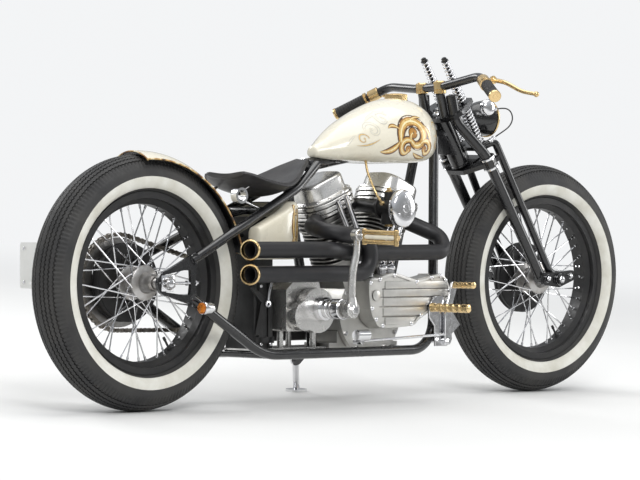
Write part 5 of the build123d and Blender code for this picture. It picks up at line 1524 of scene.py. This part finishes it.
PAN_PROFILE = (
    # rise above the cover's seat, length, width, corner
    (-31.0, 150.0, 130.0, 48.0), (-31.0, 171.0, 149.0, 56.0), (-30.0, 173.0, 151.0, 57.0),
    (-24.0, 173.0, 151.0, 57.0), (-23.0, 171.0, 149.0, 56.0), (-23.0, 162.0, 140.0, 52.0),
    (-20.0, 162.0, 140.0, 52.0), (-20.0, 174.0, 152.0, 58.0), (-19.0, 176.0, 154.0, 59.0),
    (-9.0, 176.0, 154.0, 59.0), (-8.0, 174.0, 152.0, 58.0), (-8.0, 165.0, 143.0, 54.0),
    (-4.0, 165.0, 143.0, 54.0), (-4.0, 175.0, 153.0, 58.5), (-3.0, 177.6, 155.6, 60.0),
    (5.0, 177.6, 155.6, 60.0), (6.0, 175.0, 153.0, 59.0), (6.0, 168.0, 146.0, 56.0),
    (8.6, 168.0, 146.0, 56.0), (8.6, 171.0, 149.0, 57.0), (9.6, 173.0, 151.0, 58.0),
    (13.0, 172.0, 150.0, 57.0), (15.0, 160.0, 138.0, 52.0), (16.5, 151.0, 129.0, 46.0),
    (18.5, 148.0, 126.0, 45.0), (52.0, 143.0, 121.0, 42.0), (56.5, 140.5, 118.5, 41.0),
    (60.0, 135.0, 113.0, 38.0), (61.6, 126.0, 104.0, 34.0), (62.0, 112.0, 90.0, 28.0),
)


def add_rocker_covers():
    covers, bolts = Mesh(), Mesh()
    for angle in VEE:
        along, across, up = barrel_frame(angle)
        base = Vector((CRANK[0], 0, CRANK[1])) + up * PAN_START
        covers.loft([rounded_ring(base + up * rise, along, across, *sizes) for rise, *sizes in PAN_PROFILE])
        for place in rounded_ring(base + up * 12.0, along, across, 161.0, 139.0, 52.0, 2):
            bolts.hexagon(place, up, 9.0, 4.6)
            bolts.lathe(place, up, [(0, 6.2), (1.2, 6.2), (1.2, 0)], 16)
    covers.done("banded_rocker_covers", "chassis", "polished_alloy", replaces=["rocker_covers"])
    bolts.done("rocker_cover_bolts", "chassis", "chrome")


def add_air_cleaner():
    """An egg-shaped domed cover with a centre bolt and three small bolts."""
    mesh = Mesh()
    centre = Vector((821, -172, 545))
    profile = [(0, 0.6), (0, 0.93), (1.5, 0.985), (5, 1.0), (17, 0.985), (20.5, 0.94), (23.0, 0.86),
               (24.6, 0.74), (25.4, 0.55), (25.7, 0.3), (25.8, 0.16)]
    rows = []
    for out, scale in profile:
        ring = []
        for k in range(72):
            turn = 2 * math.pi * k / 72
            egg = 1.0 - 0.07 * math.sin(turn)
            ring.append(centre + Vector((47 * scale * egg * math.cos(turn), -out,
                                         54 * scale * math.sin(turn))))
        rows.append(ring)
    mesh.loft(rows)
    mesh.lathe(centre + RIGHT * 25.0, RIGHT, [(0, 0), (0, 11.5), (1.4, 12.0), (2.6, 10.5), (2.6, 0)], 36)
    for degrees in (90, 210, 330):
        turn = math.radians(degrees)
        screw(mesh, centre + Vector((29 * math.cos(turn), -23.6, 33 * math.sin(turn))), RIGHT, 3.8, 3.4)
    mesh.done("domed_air_cleaner", "chassis", "chrome", replaces=["air_cleaner"])


PUSHROD_ROWS = ((-22.5, 752.0, -10.0), (-22.5, 784.0, 26.0), (22.5, 836.0, -26.0), (22.5, 868.0, 10.0))


def add_pushrod_collars():
    mesh = Mesh()
    for angle, foot_x, offset in PUSHROD_ROWS:
        along, _, up = barrel_frame(angle)
        top = Vector((CRANK[0], -76.0, CRANK[1])) + up * PAN_START + along * offset
        foot = Vector((foot_x, -88.0, 388.0))
        run = top - foot
        for share in (0.03, 0.42, 0.47):
            mesh.collar(foot + run * share, run, 8.6, 12.2, 6.0)
        mesh.collar((foot_x, -88.0, 372.0), UP, 13.1, 16.0, 12.0, 2.0, 1.0)
        mesh.hexagon((foot_x, -88.0, 372.6), UP, 26.0, 5.0)
    mesh.done("pushrod_collars", "chassis", "chrome")


GEAR_OUTLINE = ((752, 262), (748, 340), (790, 352), (850, 364), (940, 344), (1000, 355), (1040, 360),
                (1064, 345), (1080, 312), (1078, 290), (960, 235), (920, 212), (800, 208), (770, 228))
GEAR_FACE = -124.0
GEAR_PANELS = (
    # height, rear end, front end
    (329, 812, 1064), (306.5, 804, 1068), (281.5, 804, 1040), (254, 804, 972), (227, 812, 930),
)
GEARBOX_FACE = -95.0
KICK_COVER = (546, 262)
OIL_PUMP = (496, 247)
KICK_SHAFT = (556, 267)
CARBURETTOR_X = 821
FUEL_LINE = ((790, -132, 562), (776, -130, 578), (772, -116, 606), (776, -90, 646), (790, -66, 686))


def inset_outline(outline, gap):
    """The outline moved inwards by a gap, corner by corner."""
    inside = []
    count = len(outline)
    middle = Vector((sum(p[0] for p in outline) / count, sum(p[1] for p in outline) / count))
    for i, point in enumerate(outline):
        here = Vector(point)
        before, after = Vector(outline[i - 1]), Vector(outline[(i + 1) % count])
        first, second = (here - before).normalized(), (after - here).normalized()
        normal = Vector((-(first.y + second.y), first.x + second.x)).normalized()
        if normal.dot(middle - here) < 0:
            normal = -normal
        inside.append(here + normal * gap)
    return inside


def add_gear_cover_details():
    """A raised seam, grooved panel ridges, domed screws and the timer boss."""
    alloy, screws = Mesh(), Mesh()
    outer = smooth_loop(inset_outline(GEAR_OUTLINE, 1.5), 5)
    inner = smooth_loop(inset_outline(GEAR_OUTLINE, 9.5), 5)
    rows = []
    for a, b in zip(outer, inner):
        crest = a + (b - a) * 0.3
        rows.append([Vector((p.x, GEAR_FACE + rise, p.y))
                     for p, rise in ((a, 1.0), (a, -1.4), (crest, -2.6), (b, -2.2), (b, 1.0))])
    alloy.grid(rows, close_rows=True, close_columns=True)
    for z, rear, front in GEAR_PANELS:
        alloy.box(((rear + front) / 2, GEAR_FACE - 0.4, z), (front - rear, 3.4, 20.5), 1.1)
    for point in inset_outline(GEAR_OUTLINE, 7.0):
        screws.lathe((point.x, GEAR_FACE - 2.0, point.y), RIGHT,
                     [(0, 0), (0, 6.2), (1.0, 6.4), (2.4, 5.2), (3.2, 2.6), (3.2, 0)], 20)
    alloy.lathe((776, GEAR_FACE - 1.0, 300), RIGHT,
                [(0, 0), (0, 15.0), (2.4, 15.0), (4.0, 12.5), (4.0, 0)], 36)
    alloy.done("gear_cover_ribs", "chassis", "cast_alloy")
    screws.done("gear_cover_screws", "chassis", "chrome")


def smooth_loop(points, steps):
    """A closed smooth curve through flat points."""
    count = len(points)
    path = []
    for i in range(count):
        corners = [points[(i + k - 1) % count] for k in range(4)]
        path += [curve_point(*corners, k / steps) for k in range(steps)]
    return path


def add_gearbox_details():
    """Kick cover screws, caps and plugs, the kick shaft's rings and the clutch arm."""
    mesh = Mesh()
    for (x, z), radius, turns in ((KICK_COVER, 53, (-60, -20, 20, 60, 100, 140)),
                                  (OIL_PUMP, 31, (170, 220, 270))):
        for degrees in turns:
            screw(mesh, around((x, GEARBOX_FACE + 0.3, z), radius, degrees), RIGHT, 5.2, 4.0)
    plug = (OIL_PUMP[0], GEARBOX_FACE, OIL_PUMP[1])
    mesh.lathe(plug, RIGHT, [(0, 0), (0, 19), (3, 19), (5, 16.5), (6, 10), (6, 0)], 36)
    mesh.hexagon((OIL_PUMP[0], GEARBOX_FACE - 5.5, OIL_PUMP[1]), RIGHT, 15.0, 4.0)
    x, z = KICK_SHAFT
    mesh.lathe((x, -128, z), RIGHT, [(0, 24), (0, 30), (2, 32), (22, 32), (24, 30), (26, 27), (40, 26.5),
                                     (42, 24.6), (42, 24), (0, 24)], 48)
    mesh.collar((x, -176, z), RIGHT, 24, 28, 8, 1.5, 1.0, 40)
    mesh.lathe((x, -190, z), RIGHT,
               [(0, 24), (0, 27), (1.5, 28.4), (26, 28.4), (28, 26.5), (28, 24), (0, 24)], 40)
    mesh.hexagon((x, -257.5, z), RIGHT, 22.0, 7.0)
    mesh.lathe((x, -264, z), RIGHT, [(0, 0), (0, 6.5), (1.4, 5.8), (1.4, 0)], 20)
    for x in (482, 530, 576):
        for y in (-20, 36):
            mesh.hexagon((x, y, 342), UP, 13.0, 5.0)
    mesh.rod((520, -62, 342), (520, -62, 352), 12.0, 24)
    mesh.tube(smooth_path([(520, -62, 356), (500, -78, 357), (470, -100, 352), (452, -112, 344)], 6), 5.5, 12)
    mesh.done("gearbox_fittings", "chassis", "chrome")


def squared_ring(point, side, half, deep):
    """Points round an oval with flattened sides."""
    ring = []
    for k in range(20):
        turn = 2 * math.pi * k / 20
        cosine = math.cos(turn)
        swell = abs(cosine) ** -0.25 if abs(cosine) > 0.2 else 1.0
        ring.append(point + side * half * cosine * swell + Vector((0, deep * math.sin(turn), 0)))
    return ring


def add_kick_arm():
    """The polished arm from its hub on the kick shaft up to the pedal's joint."""
    arm = Mesh()
    path = smooth_path([(556, -248, 292), (557, -248, 330), (560, -249, 372),
                        (572, -250, 420), (575, -250, 462)], 8)
    last = len(path) - 1
    rows = []
    for i, point in enumerate(path):
        share = i / last
        ahead = (path[min(i + 1, last)] - path[max(i - 1, 0)]).normalized()
        rows.append(squared_ring(point, ahead.cross(LEFT).normalized(), 13.0 - 3.0 * share,
                                 8.6 - 1.4 * share))
    arm.loft(rows)
    x, z = KICK_SHAFT
    arm.lathe((x, -232, z), RIGHT, [(0, 0), (0, 22), (2, 24), (24, 24), (26, 22), (26, 0)], 40)
    arm.tube([(x, -248, 276), (x, -248, 300)], [17.0, 13.0], 20)
    arm.lathe((575, -238, 470), RIGHT, [(0, 0), (0, 14), (2, 16), (22, 16), (24, 14), (24, 0)], 32)
    arm.lathe((575, -261, 467), (1, -8, 0), [(0, 0), (0, 9), (13, 9), (14, 8), (14, 0)], 24)
    arm.done("kick_arm", "chassis", "polished_alloy", replaces=["kick_starter"], slot_name="steel")


def add_case_bolts():
    """Bolts round the crankcase halves, base nuts under the barrels and the primary cover's bolts."""
    mesh = Mesh()
    crank_x, crank_z = CRANK
    for y, axis, turns in ((-68.0, RIGHT, (-150, -120, -90, -60, -30, 150, 175)),
                           (62.0, LEFT, range(-160, 200, 30))):
        for degrees in turns:
            mesh.hexagon(around((crank_x, y, crank_z), 113, degrees), axis, 11.0, 5.0)
    for angle in VEE:
        along, across, up = barrel_frame(angle)
        base = Vector((crank_x, 0, crank_z)) + up * 140.0
        for a, b in ((58, 44), (58, -44), (-58, 44), (-58, -44)):
            mesh.hexagon(base + along * a + across * b, up, 16.0, 9.0)
    centre_x, centre_z = (crank_x + GEARBOX[0]) / 2, (crank_z + GEARBOX[1]) / 2
    for x, z in inset_slot(centre_x, centre_z, 265.0, 76.0, 14):
        mesh.hexagon((x, 131.8, z), LEFT, 11.0, 4.4)
    mesh.done("case_bolts", "chassis", "chrome")


def inset_slot(x, z, length, radius, count):
    """Places evenly round a slot's outline."""
    around_length = 2 * length + 2 * math.pi * radius
    places = []
    for k in range(count):
        reach = around_length * k / count
        if reach < length:
            places.append((x - length / 2 + reach, z + radius))
        elif reach < length + math.pi * radius:
            turn = math.pi / 2 - (reach - length) / radius
            places.append((x + length / 2 + radius * math.cos(turn), z + radius * math.sin(turn)))
        elif reach < 2 * length + math.pi * radius:
            places.append((x + length / 2 - (reach - length - math.pi * radius), z - radius))
        else:
            turn = -math.pi / 2 - (reach - 2 * length - math.pi * radius) / radius
            places.append((x - length / 2 + radius * math.cos(turn), z + radius * math.sin(turn)))
    return places


def add_carburettor_details():
    """Brass caps, jets, fuel line and screws, and the black flanges."""
    brass_bits, black = Mesh(), Mesh()
    x = CARBURETTOR_X
    brass_bits.hexagon((x, -130, 592), UP, 20.0, 5.0)
    brass_bits.lathe((x, -130, 597), UP, [(0, 0), (0, 6.5), (6, 6.5), (7.5, 5), (7.5, 0)], 20)
    brass_bits.hexagon((x, -130, 500), DOWN, 22.0, 6.0)
    brass_bits.hexagon((795, -132, 560), BACKWARD, 12.0, 8.0)
    brass_bits.tube(smooth_path(FUEL_LINE, 8), 3.4, 12)
    black.lathe((x, -150, 548), RIGHT, [(0, 25), (0, 30), (4, 30), (5, 29), (5, 25), (0, 25)], 40)
    black.lathe((x, -100, 548), RIGHT, [(0, 25), (0, 31), (5, 31), (6, 30), (6, 25), (0, 25)], 40)
    black.lathe((x, -130, 508), UP, [(0, 22), (0, 25), (4, 25), (4, 22), (0, 22)], 36)
    for y in (-102.0, -160.0):
        for degrees in (45, 225):
            screw(brass_bits, around((x, y, 548), 27, degrees), RIGHT, 3.6, 3.0)
    brass_bits.done("carburettor_brass", "chassis", "brass")
    black.done("carburettor_flanges", "chassis", "black_satin")


# Exhaust: ring tips turned a little outward, heat bands and their bolts
PIPE_Y = -185.0
TIP_X = 236.0
TIP_TURN = math.radians(24)


def add_exhaust_tips():
    mesh, bolts = Mesh(), Mesh()
    axis = Vector((-math.cos(TIP_TURN), -math.sin(TIP_TURN), 0))
    for z in (430.0, 364.0):
        centre = Vector((TIP_X + 2.0, PIPE_Y, z))
        profile = [(-8.0, 22.0), (-8.0, 24.6), (-5.0, 27.0), (-1.0, 28.6), (3.0, 28.9), (6.4, 28.0),
                   (8.0, 26.2), (7.4, 24.0), (4.0, 22.6), (-8.0, 22.0)]
        mesh.lathe(centre, axis, profile, 56)
        screw(bolts, (TIP_X + 18, PIPE_Y - 1, z - 20.4), UP, 4.0, 4.0)
        bolts.lathe((TIP_X + 175, PIPE_Y, z), BACKWARD, [(0, 0), (0, 20.0), (1, 20.0), (1, 0)], 32)
    mesh.done("exhaust_ring_tips", "chassis", "brass", replaces=["exhaust_tips"])
    bolts.done("exhaust_tip_bolts", "chassis", "steel")


# Oil tank: a horseshoe whose top runs below the frame's stays
OIL_WALL_Y = 101.0
OIL_HALF = 24.0
OIL_BOTTOM = 403.0
OIL_TOP = 563.0
OIL_REAR = 332.0
OIL_ARC_X = 418.0
STAY_ROOM = 17.0


def stay_height(x):
    """Height of a stay's centre line."""
    return TYRE_RADIUS + 58 + (600 - TYRE_RADIUS - 58) * (x - 89) / (530 - 89)


def oil_section(centre, outward, top):
    """A rounded section across the wall: centre on the path, outward across it."""
    ring = []
    middle, tall = (OIL_BOTTOM + top) / 2, top - OIL_BOTTOM
    up = UP
    for point in rounded_ring(Vector((0, 0, 0)), FORWARD, LEFT, 2 * OIL_HALF, tall, 17.0, 6):
        ring.append(Vector((centre[0], centre[1], middle)) + outward * point.x + up * point.y)
    return ring


def add_oil_tank():
    """A horseshoe loft: down the right wall, round the front and back along the left one."""
    stations = []
    for k in range(9):
        x = OIL_REAR + (OIL_ARC_X - OIL_REAR) * k / 9
        stations.append(((x, -OIL_WALL_Y), RIGHT))
    for k in range(41):
        turn = -math.pi / 2 + math.pi * k / 40
        out = Vector((math.cos(turn), math.sin(turn), 0))
        stations.append(((OIL_ARC_X + OIL_WALL_Y * out.x, OIL_WALL_Y * out.y), out))
    stations += [((x, -y), LEFT) for (x, y), _ in reversed(stations[:9])]
    rows = [oil_section(place, out, min(OIL_TOP, stay_height(place[0]) - STAY_ROOM))
            for place, out in stations]
    rows = closed_ends(rows, (0.0, 0.0))
    for k in range(END_RINGS):
        shift = Vector((-8.0 * math.sin(math.pi / 2 * (END_RINGS - k) / (END_RINGS + 1)), 0, 0))
        for index in (k, len(rows) - 1 - k):
            rows[index] = [p + shift for p in rows[index]]
    mesh = Mesh()
    mesh.loft(rows)
    piece = mesh.done("oil_tank_shell", "chassis", "cream", sharp=60, replaces=["oil_tank"])
    for side, sign in SIDES:
        painter = Painter(piece, sign)
        painter.leaf((470, 548), (452, 500), (472, 430), 17, 0.25, FULL)
        painter.leaf((486, 540), (500, 500), (482, 440), 15, 0.25, FULL)
        painter.leaf((474, 520), (488, 490), (474, 452), 9, 0.6, FULL)
        painter.scroll((478, 536), 15, 90, 330, 7, 0.4, FULL)
        painter.scroll((470, 452), 14, 200, -330, 7, 0.4, FULL)
        painter.mesh.done(f"oil_tank_scrolls_{side}", "chassis", SCROLL_PAINTS, sharp=80)


add_rocker_covers()
add_air_cleaner()
add_pushrod_collars()
add_gear_cover_details()
add_gearbox_details()
add_kick_arm()
add_case_bolts()
add_carburettor_details()
add_exhaust_tips()
add_oil_tank()


# Rear lamps: chrome bullets with amber lenses, and the red tail lens
LAMP_AXIS_Z = TYRE_RADIUS - 66.0
LAMP_Y = 156.0
TAIL_LAMP = Vector((-104.0, 152.0, 474.0))


def add_rear_lamps():
    """Chrome bullet lamps on stems with ribbed amber lenses, and a round red tail lamp."""
    chrome, amber, red = Mesh(), Mesh(), Mesh()
    for _, sign in SIDES:
        base = Vector((94.0, sign * LAMP_Y, LAMP_AXIS_Z))
        chrome.lathe(base, FORWARD,
                     [(0, 13.0), (0, 16.4), (1.5, 17.0), (5, 17.0), (6, 15.2), (24, 14.6), (34, 12.0),
                      (39.5, 8.0), (42.0, 3.0), (42.0, 0)], 40)
        chrome.lathe(base, BACKWARD, [(0, 0), (0, 15.6), (2.0, 16.6), (2.6, 15.4), (2.6, 0)], 40)
        amber.lathe(base + Vector((-2.0, 0, 0)), BACKWARD,
                    [(0, 0), (0, 15.0), (3.0, 15.0), (3.6, 14.2), (4.4, 14.6), (5.4, 13.0), (6.2, 13.4),
                     (7.4, 11.0), (8.2, 11.3), (9.2, 7.4), (9.8, 0)], 40)
        start = Vector((118, sign * 119, TYRE_RADIUS - 54.6))
        end = Vector((118, sign * 146, LAMP_AXIS_Z + 1.6))
        chrome.rod(start, end, 6.0, 20)
        chrome.hexagon(start, end - start, 15.0, 5.0)
    chrome.lathe(TAIL_LAMP + Vector(BACKWARD), BACKWARD,
                 [(0, 0), (0, 18.6), (1.5, 20.0), (12, 20.0), (13.5, 18.8), (13.5, 0)], 48)
    red.lathe(TAIL_LAMP + Vector((-13, 0, 0)), BACKWARD,
              [(0, 0), (0, 18.0), (5, 17.4), (6, 15.0), (7, 15.6), (8.4, 11.4), (9.2, 12.0), (10.4, 6.0),
               (10.8, 0)], 48)
    chrome.done("rear_lamp_bodies", "chassis", "chrome")
    red.done("tail_lens", "chassis", "lens_red")
    amber.done("amber_lenses", "chassis", "lens_amber", replaces=["rear_lamps"])


# Rear fender: rolled edges worn through to rusty metal, and a black underside
FENDER_RADIUS = TYRE_RADIUS + 8.0
FENDER_HALF = 69.0
FENDER_ANGLES = (13.0, 94.0)
BOX_BRACKETS = (
    ((346, 324), (352, 332), (414, 290), (412, 274), (398, 272)),
    ((384, 284), (400, 284), (380, 196), (364, 196)),
)


def fender_point(degrees, y, radius):
    turn = math.radians(degrees)
    return Vector((radius * math.cos(turn), y, TYRE_RADIUS + radius * math.sin(turn)))


def fender_arc(share):
    """Across the fender: from -1 at the right edge over the crown to 1 at the left."""
    rise = 22.0 + 2.5
    crown = (FENDER_HALF**2 + rise**2) / (2 * rise)
    across = FENDER_HALF * share
    return across, FENDER_RADIUS + 2.5 - crown + math.sqrt(crown**2 - across**2)


def add_fender_trim():
    edge, under, bolts = Mesh(), Mesh(), Mesh()
    first, last = FENDER_ANGLES
    turns = [first + (last - first) * k / 60 for k in range(61)]
    for _, sign in SIDES:
        path = [fender_point(t, sign * (FENDER_HALF - 1.4), FENDER_RADIUS - 21.0) for t in turns]
        edge.tube(path, 2.3, 10)
    for t in (first, last):
        rim = []
        for k in range(31):
            across, radius = fender_arc(-1 + k / 15)
            rim.append(fender_point(t, across * 0.985, radius - 1.4))
        edge.tube(rim, 2.1, 10)
    rows = []
    for t in [first + 0.4 + (last - first - 0.8) * k / 60 for k in range(61)]:
        outer, inner = [], []
        for k in range(25):
            across, radius = fender_arc(-1 + k / 12)
            outer.append(fender_point(t, across * 0.955, radius - 2.9))
            inner.append(fender_point(t, across * 0.95, radius - 3.6))
        rows.append(outer + inner[::-1])
    under.loft(rows)
    for t in (20.0, 30.0):
        for y in (-12.0, 12.0):
            place = fender_point(t, y, FENDER_RADIUS + 2.0)
            axis = place - Vector((0, y, TYRE_RADIUS))
            screw(bolts, place, axis, 5.0, 2.8)
    edge.done("fender_worn_edge", "chassis", "worn_edge")
    under.done("fender_underside", "chassis", "black_satin")
    bolts.done("fender_bolts", "chassis", "chrome")


def add_box_fittings():
    """Straps, a bracket and a bright lever on the right side of the battery box."""
    black, chrome = Mesh(), Mesh()
    for x in (388, 424):
        black.box((x, -62.5, 250), (16, 5, 178), 1.2)
    for z in (182, 470):
        black.box((404, -62.5, z), (70, 5, 18), 1.2)
    for outline in BOX_BRACKETS:
        black.plate(outline, ((0, -65, 0), FORWARD, UP), 5.0)
    chrome.tube(smooth_path([(440, -70, 372), (424, -72, 346), (412, -73, 314), (408, -73, 288)], 6), 4.2, 12)
    chrome.lathe((407, -70, 281), RIGHT,
                 [(0, 4.5), (0, 8.6), (1.2, 9.6), (5, 9.6), (6, 8.6), (6, 4.5), (0, 4.5)], 24)
    for x, z in ((388, 330), (424, 330), (388, 170), (424, 170)):
        screw(chrome, (x, -64.8, z), RIGHT, 4.6, 3.0)
    black.done("box_straps", "chassis", "black_satin", slot_name="box_black")
    chrome.done("box_lever", "chassis", "chrome")


def add_plate_bolts():
    mesh = Mesh()
    for across, rise in ((-95.0, 46.0), (95.0, 46.0), (-95.0, -46.0), (95.0, -46.0)):
        screw(mesh, (-120.6, 236.0 + across, 386.0 + rise), BACKWARD, 4.4, 2.6)
    mesh.done("number_plate_bolts", "chassis", "chrome")


add_rear_lamps()
add_fender_trim()
add_plate_bolts()
add_box_fittings()


# Finishes of the CAD's own pieces
NODE_FINISH = {
    "black_gloss": ("axle_plates", "frame_backbone", "frame_rails", "frame_stays", "frame_crossmembers",
                    "fork_legs", "spring_legs", "handlebar", "headlamp", "fender_brackets", "plate_bracket",
                    "fork_rockers"),
    "black_satin": ("rear_drum", "front_drum", "carburettor", "primary_cover", "brake_plate", "rear_rim",
                    "front_rim"),
    "pipe_black": ("exhaust_pipes",),
    "chrome": ("pushrods", "air_cleaner", "seat_springs", "foot_controls", "fork_springs", "gauge",
               "side_stand"),
    "steel": ("rear_sprocket", "rear_axle", "kick_starter"),
    "chain_steel": ("drive_chain",),
    "cast_alloy": ("crankcase", "gear_cover"),
    "fin_alloy": ("cylinders", "cylinder_heads"),
    "polished_alloy": ("rocker_covers", "gearbox"),
    "brass": ("exhaust_tips", "fuel_cap", "foot_pegs", "levers", "kick_pedal", "bar_fittings"),
    "cream": ("fuel_tank", "oil_tank", "rear_fender"),
    "rubber": ("grips", "control_cable"),
    "leather": ("seat",),
    "plate_white": ("number_plate",),
    "lens_amber": ("rear_lamps",),
    "box_black": ("battery_box",),
}


def finish_nodes():
    """Give the solids' own pieces their finishes, where no modelled piece stands for them."""
    for finish, names in NODE_FINISH.items():
        for name in names:
            if name in frame["nodes"]:
                node = frame["nodes"][name]
                node.data.materials.clear()
                node.data.materials.append(materials[finish])


# Studio: a pale floor that keeps the shadow, soft lamps and an even sky
FLOOR_COLOUR = (0.8, 0.8, 0.79)
BACKDROP = (0.9, 0.91, 0.92)
FLOOR_REACH = 60.0
LAMPS = (
    # name, place, aimed at, width, height, watts
    ("key", (-2.6, -4.2, 4.6), (0.0, 0.0, 0.45), 3.0, 2.0, 165.0),
    ("sky", (0.4, 0.2, 5.2), (0.0, 0.0, 0.3), 4.5, 4.0, 125.0),
    ("fill", (4.6, -2.4, 1.8), (0.1, 0.0, 0.5), 2.2, 2.2, 60.0),
    ("back", (-1.4, 4.4, 3.2), (0.0, 0.0, 0.5), 3.0, 1.6, 90.0),
)


def add_floor():
    """A wide floor that keeps the shadow and fades into the backdrop with distance."""
    ground = bpy.data.meshes.new("studio_floor")
    corners = [(-FLOOR_REACH, -FLOOR_REACH, 0), (FLOOR_REACH, -FLOOR_REACH, 0),
               (FLOOR_REACH, FLOOR_REACH, 0), (-FLOOR_REACH, FLOOR_REACH, 0)]
    ground.from_pydata(corners, [], [(0, 1, 2, 3)])
    material, nodes, links, shader = new_material("studio_floor")
    slow = noise_node(nodes, links, 0.8, 3.0)
    ramp = ramp_node(nodes, links, slow.outputs["Fac"],
                     [(0.3, FLOOR_COLOUR), (0.7, tuple(c * 0.97 for c in FLOOR_COLOUR))])
    links.new(ramp.outputs["Color"], shader.inputs["Base Color"])
    shader.inputs["Roughness"].default_value = 0.9
    place = nodes.new("ShaderNodeTexCoord")
    far = nodes.new("ShaderNodeVectorMath")
    far.operation = "LENGTH"
    links.new(place.outputs["Object"], far.inputs[0])
    fade = range_node(nodes, links, far.outputs["Value"], 1.8, 7.0, 0.0, 1.0)
    fade.interpolation_type = "SMOOTHSTEP"
    backdrop = nodes.new("ShaderNodeEmission")
    backdrop.inputs["Color"].default_value = (*BACKDROP, 1.0)
    seen = nodes.new("ShaderNodeLightPath")
    share = nodes.new("ShaderNodeMath")
    share.operation = "MULTIPLY"
    links.new(fade.outputs["Result"], share.inputs[0])
    links.new(seen.outputs["Is Camera Ray"], share.inputs[1])
    blend = nodes.new("ShaderNodeMixShader")
    links.new(share.outputs["Value"], blend.inputs["Fac"])
    links.new(shader.outputs["BSDF"], blend.inputs[1])
    links.new(backdrop.outputs["Emission"], blend.inputs[2])
    links.new(blend.outputs["Shader"], nodes["Material Output"].inputs["Surface"])
    ground.materials.append(material)
    floor = bpy.data.objects.new("studio_floor", ground)
    bpy.context.scene.collection.objects.link(floor)


def add_sky():
    """Light from all round, brighter above; the camera sees an even backdrop instead."""
    world = bpy.data.worlds.new("studio")
    bpy.context.scene.world = world
    world.use_nodes = True
    nodes, links = world.node_tree.nodes, world.node_tree.links
    background = nodes["Background"]
    coordinates = nodes.new("ShaderNodeTexCoord")
    split = nodes.new("ShaderNodeSeparateXYZ")
    links.new(coordinates.outputs["Generated"], split.inputs["Vector"])
    sky = ramp_node(nodes, links, split.outputs["Z"],
                    [(0.0, (0.42, 0.42, 0.41)), (0.12, (0.55, 0.57, 0.58)), (0.45, (0.85, 0.88, 0.92)),
                     (1.0, (1.0, 1.0, 1.0))])
    links.new(sky.outputs["Color"], background.inputs["Color"])
    background.inputs["Strength"].default_value = 0.62
    seen = nodes.new("ShaderNodeBackground")
    seen.inputs["Color"].default_value = (*BACKDROP, 1.0)
    seen.inputs["Strength"].default_value = 1.0
    path = nodes.new("ShaderNodeLightPath")
    mix = nodes.new("ShaderNodeMixShader")
    links.new(path.outputs["Is Camera Ray"], mix.inputs["Fac"])
    links.new(background.outputs["Background"], mix.inputs[1])
    links.new(seen.outputs["Background"], mix.inputs[2])
    links.new(mix.outputs["Shader"], nodes["World Output"].inputs["Surface"])


def add_lamps():
    """Four wide soft lamps, each turned towards the bike."""
    for name, place, aim, width, height, watts in LAMPS:
        data = bpy.data.lights.new(name, "AREA")
        data.shape = "RECTANGLE"
        data.size, data.size_y, data.energy = width, height, watts
        lamp = bpy.data.objects.new(name, data)
        bpy.context.scene.collection.objects.link(lamp)
        lamp.location = place
        lamp.rotation_euler = (Vector(aim) - Vector(place)).to_track_quat("-Z", "Y").to_euler()


finish_nodes()
add_floor()
add_sky()
add_lamps()
bpy.context.scene.view_settings.view_transform = "Standard"
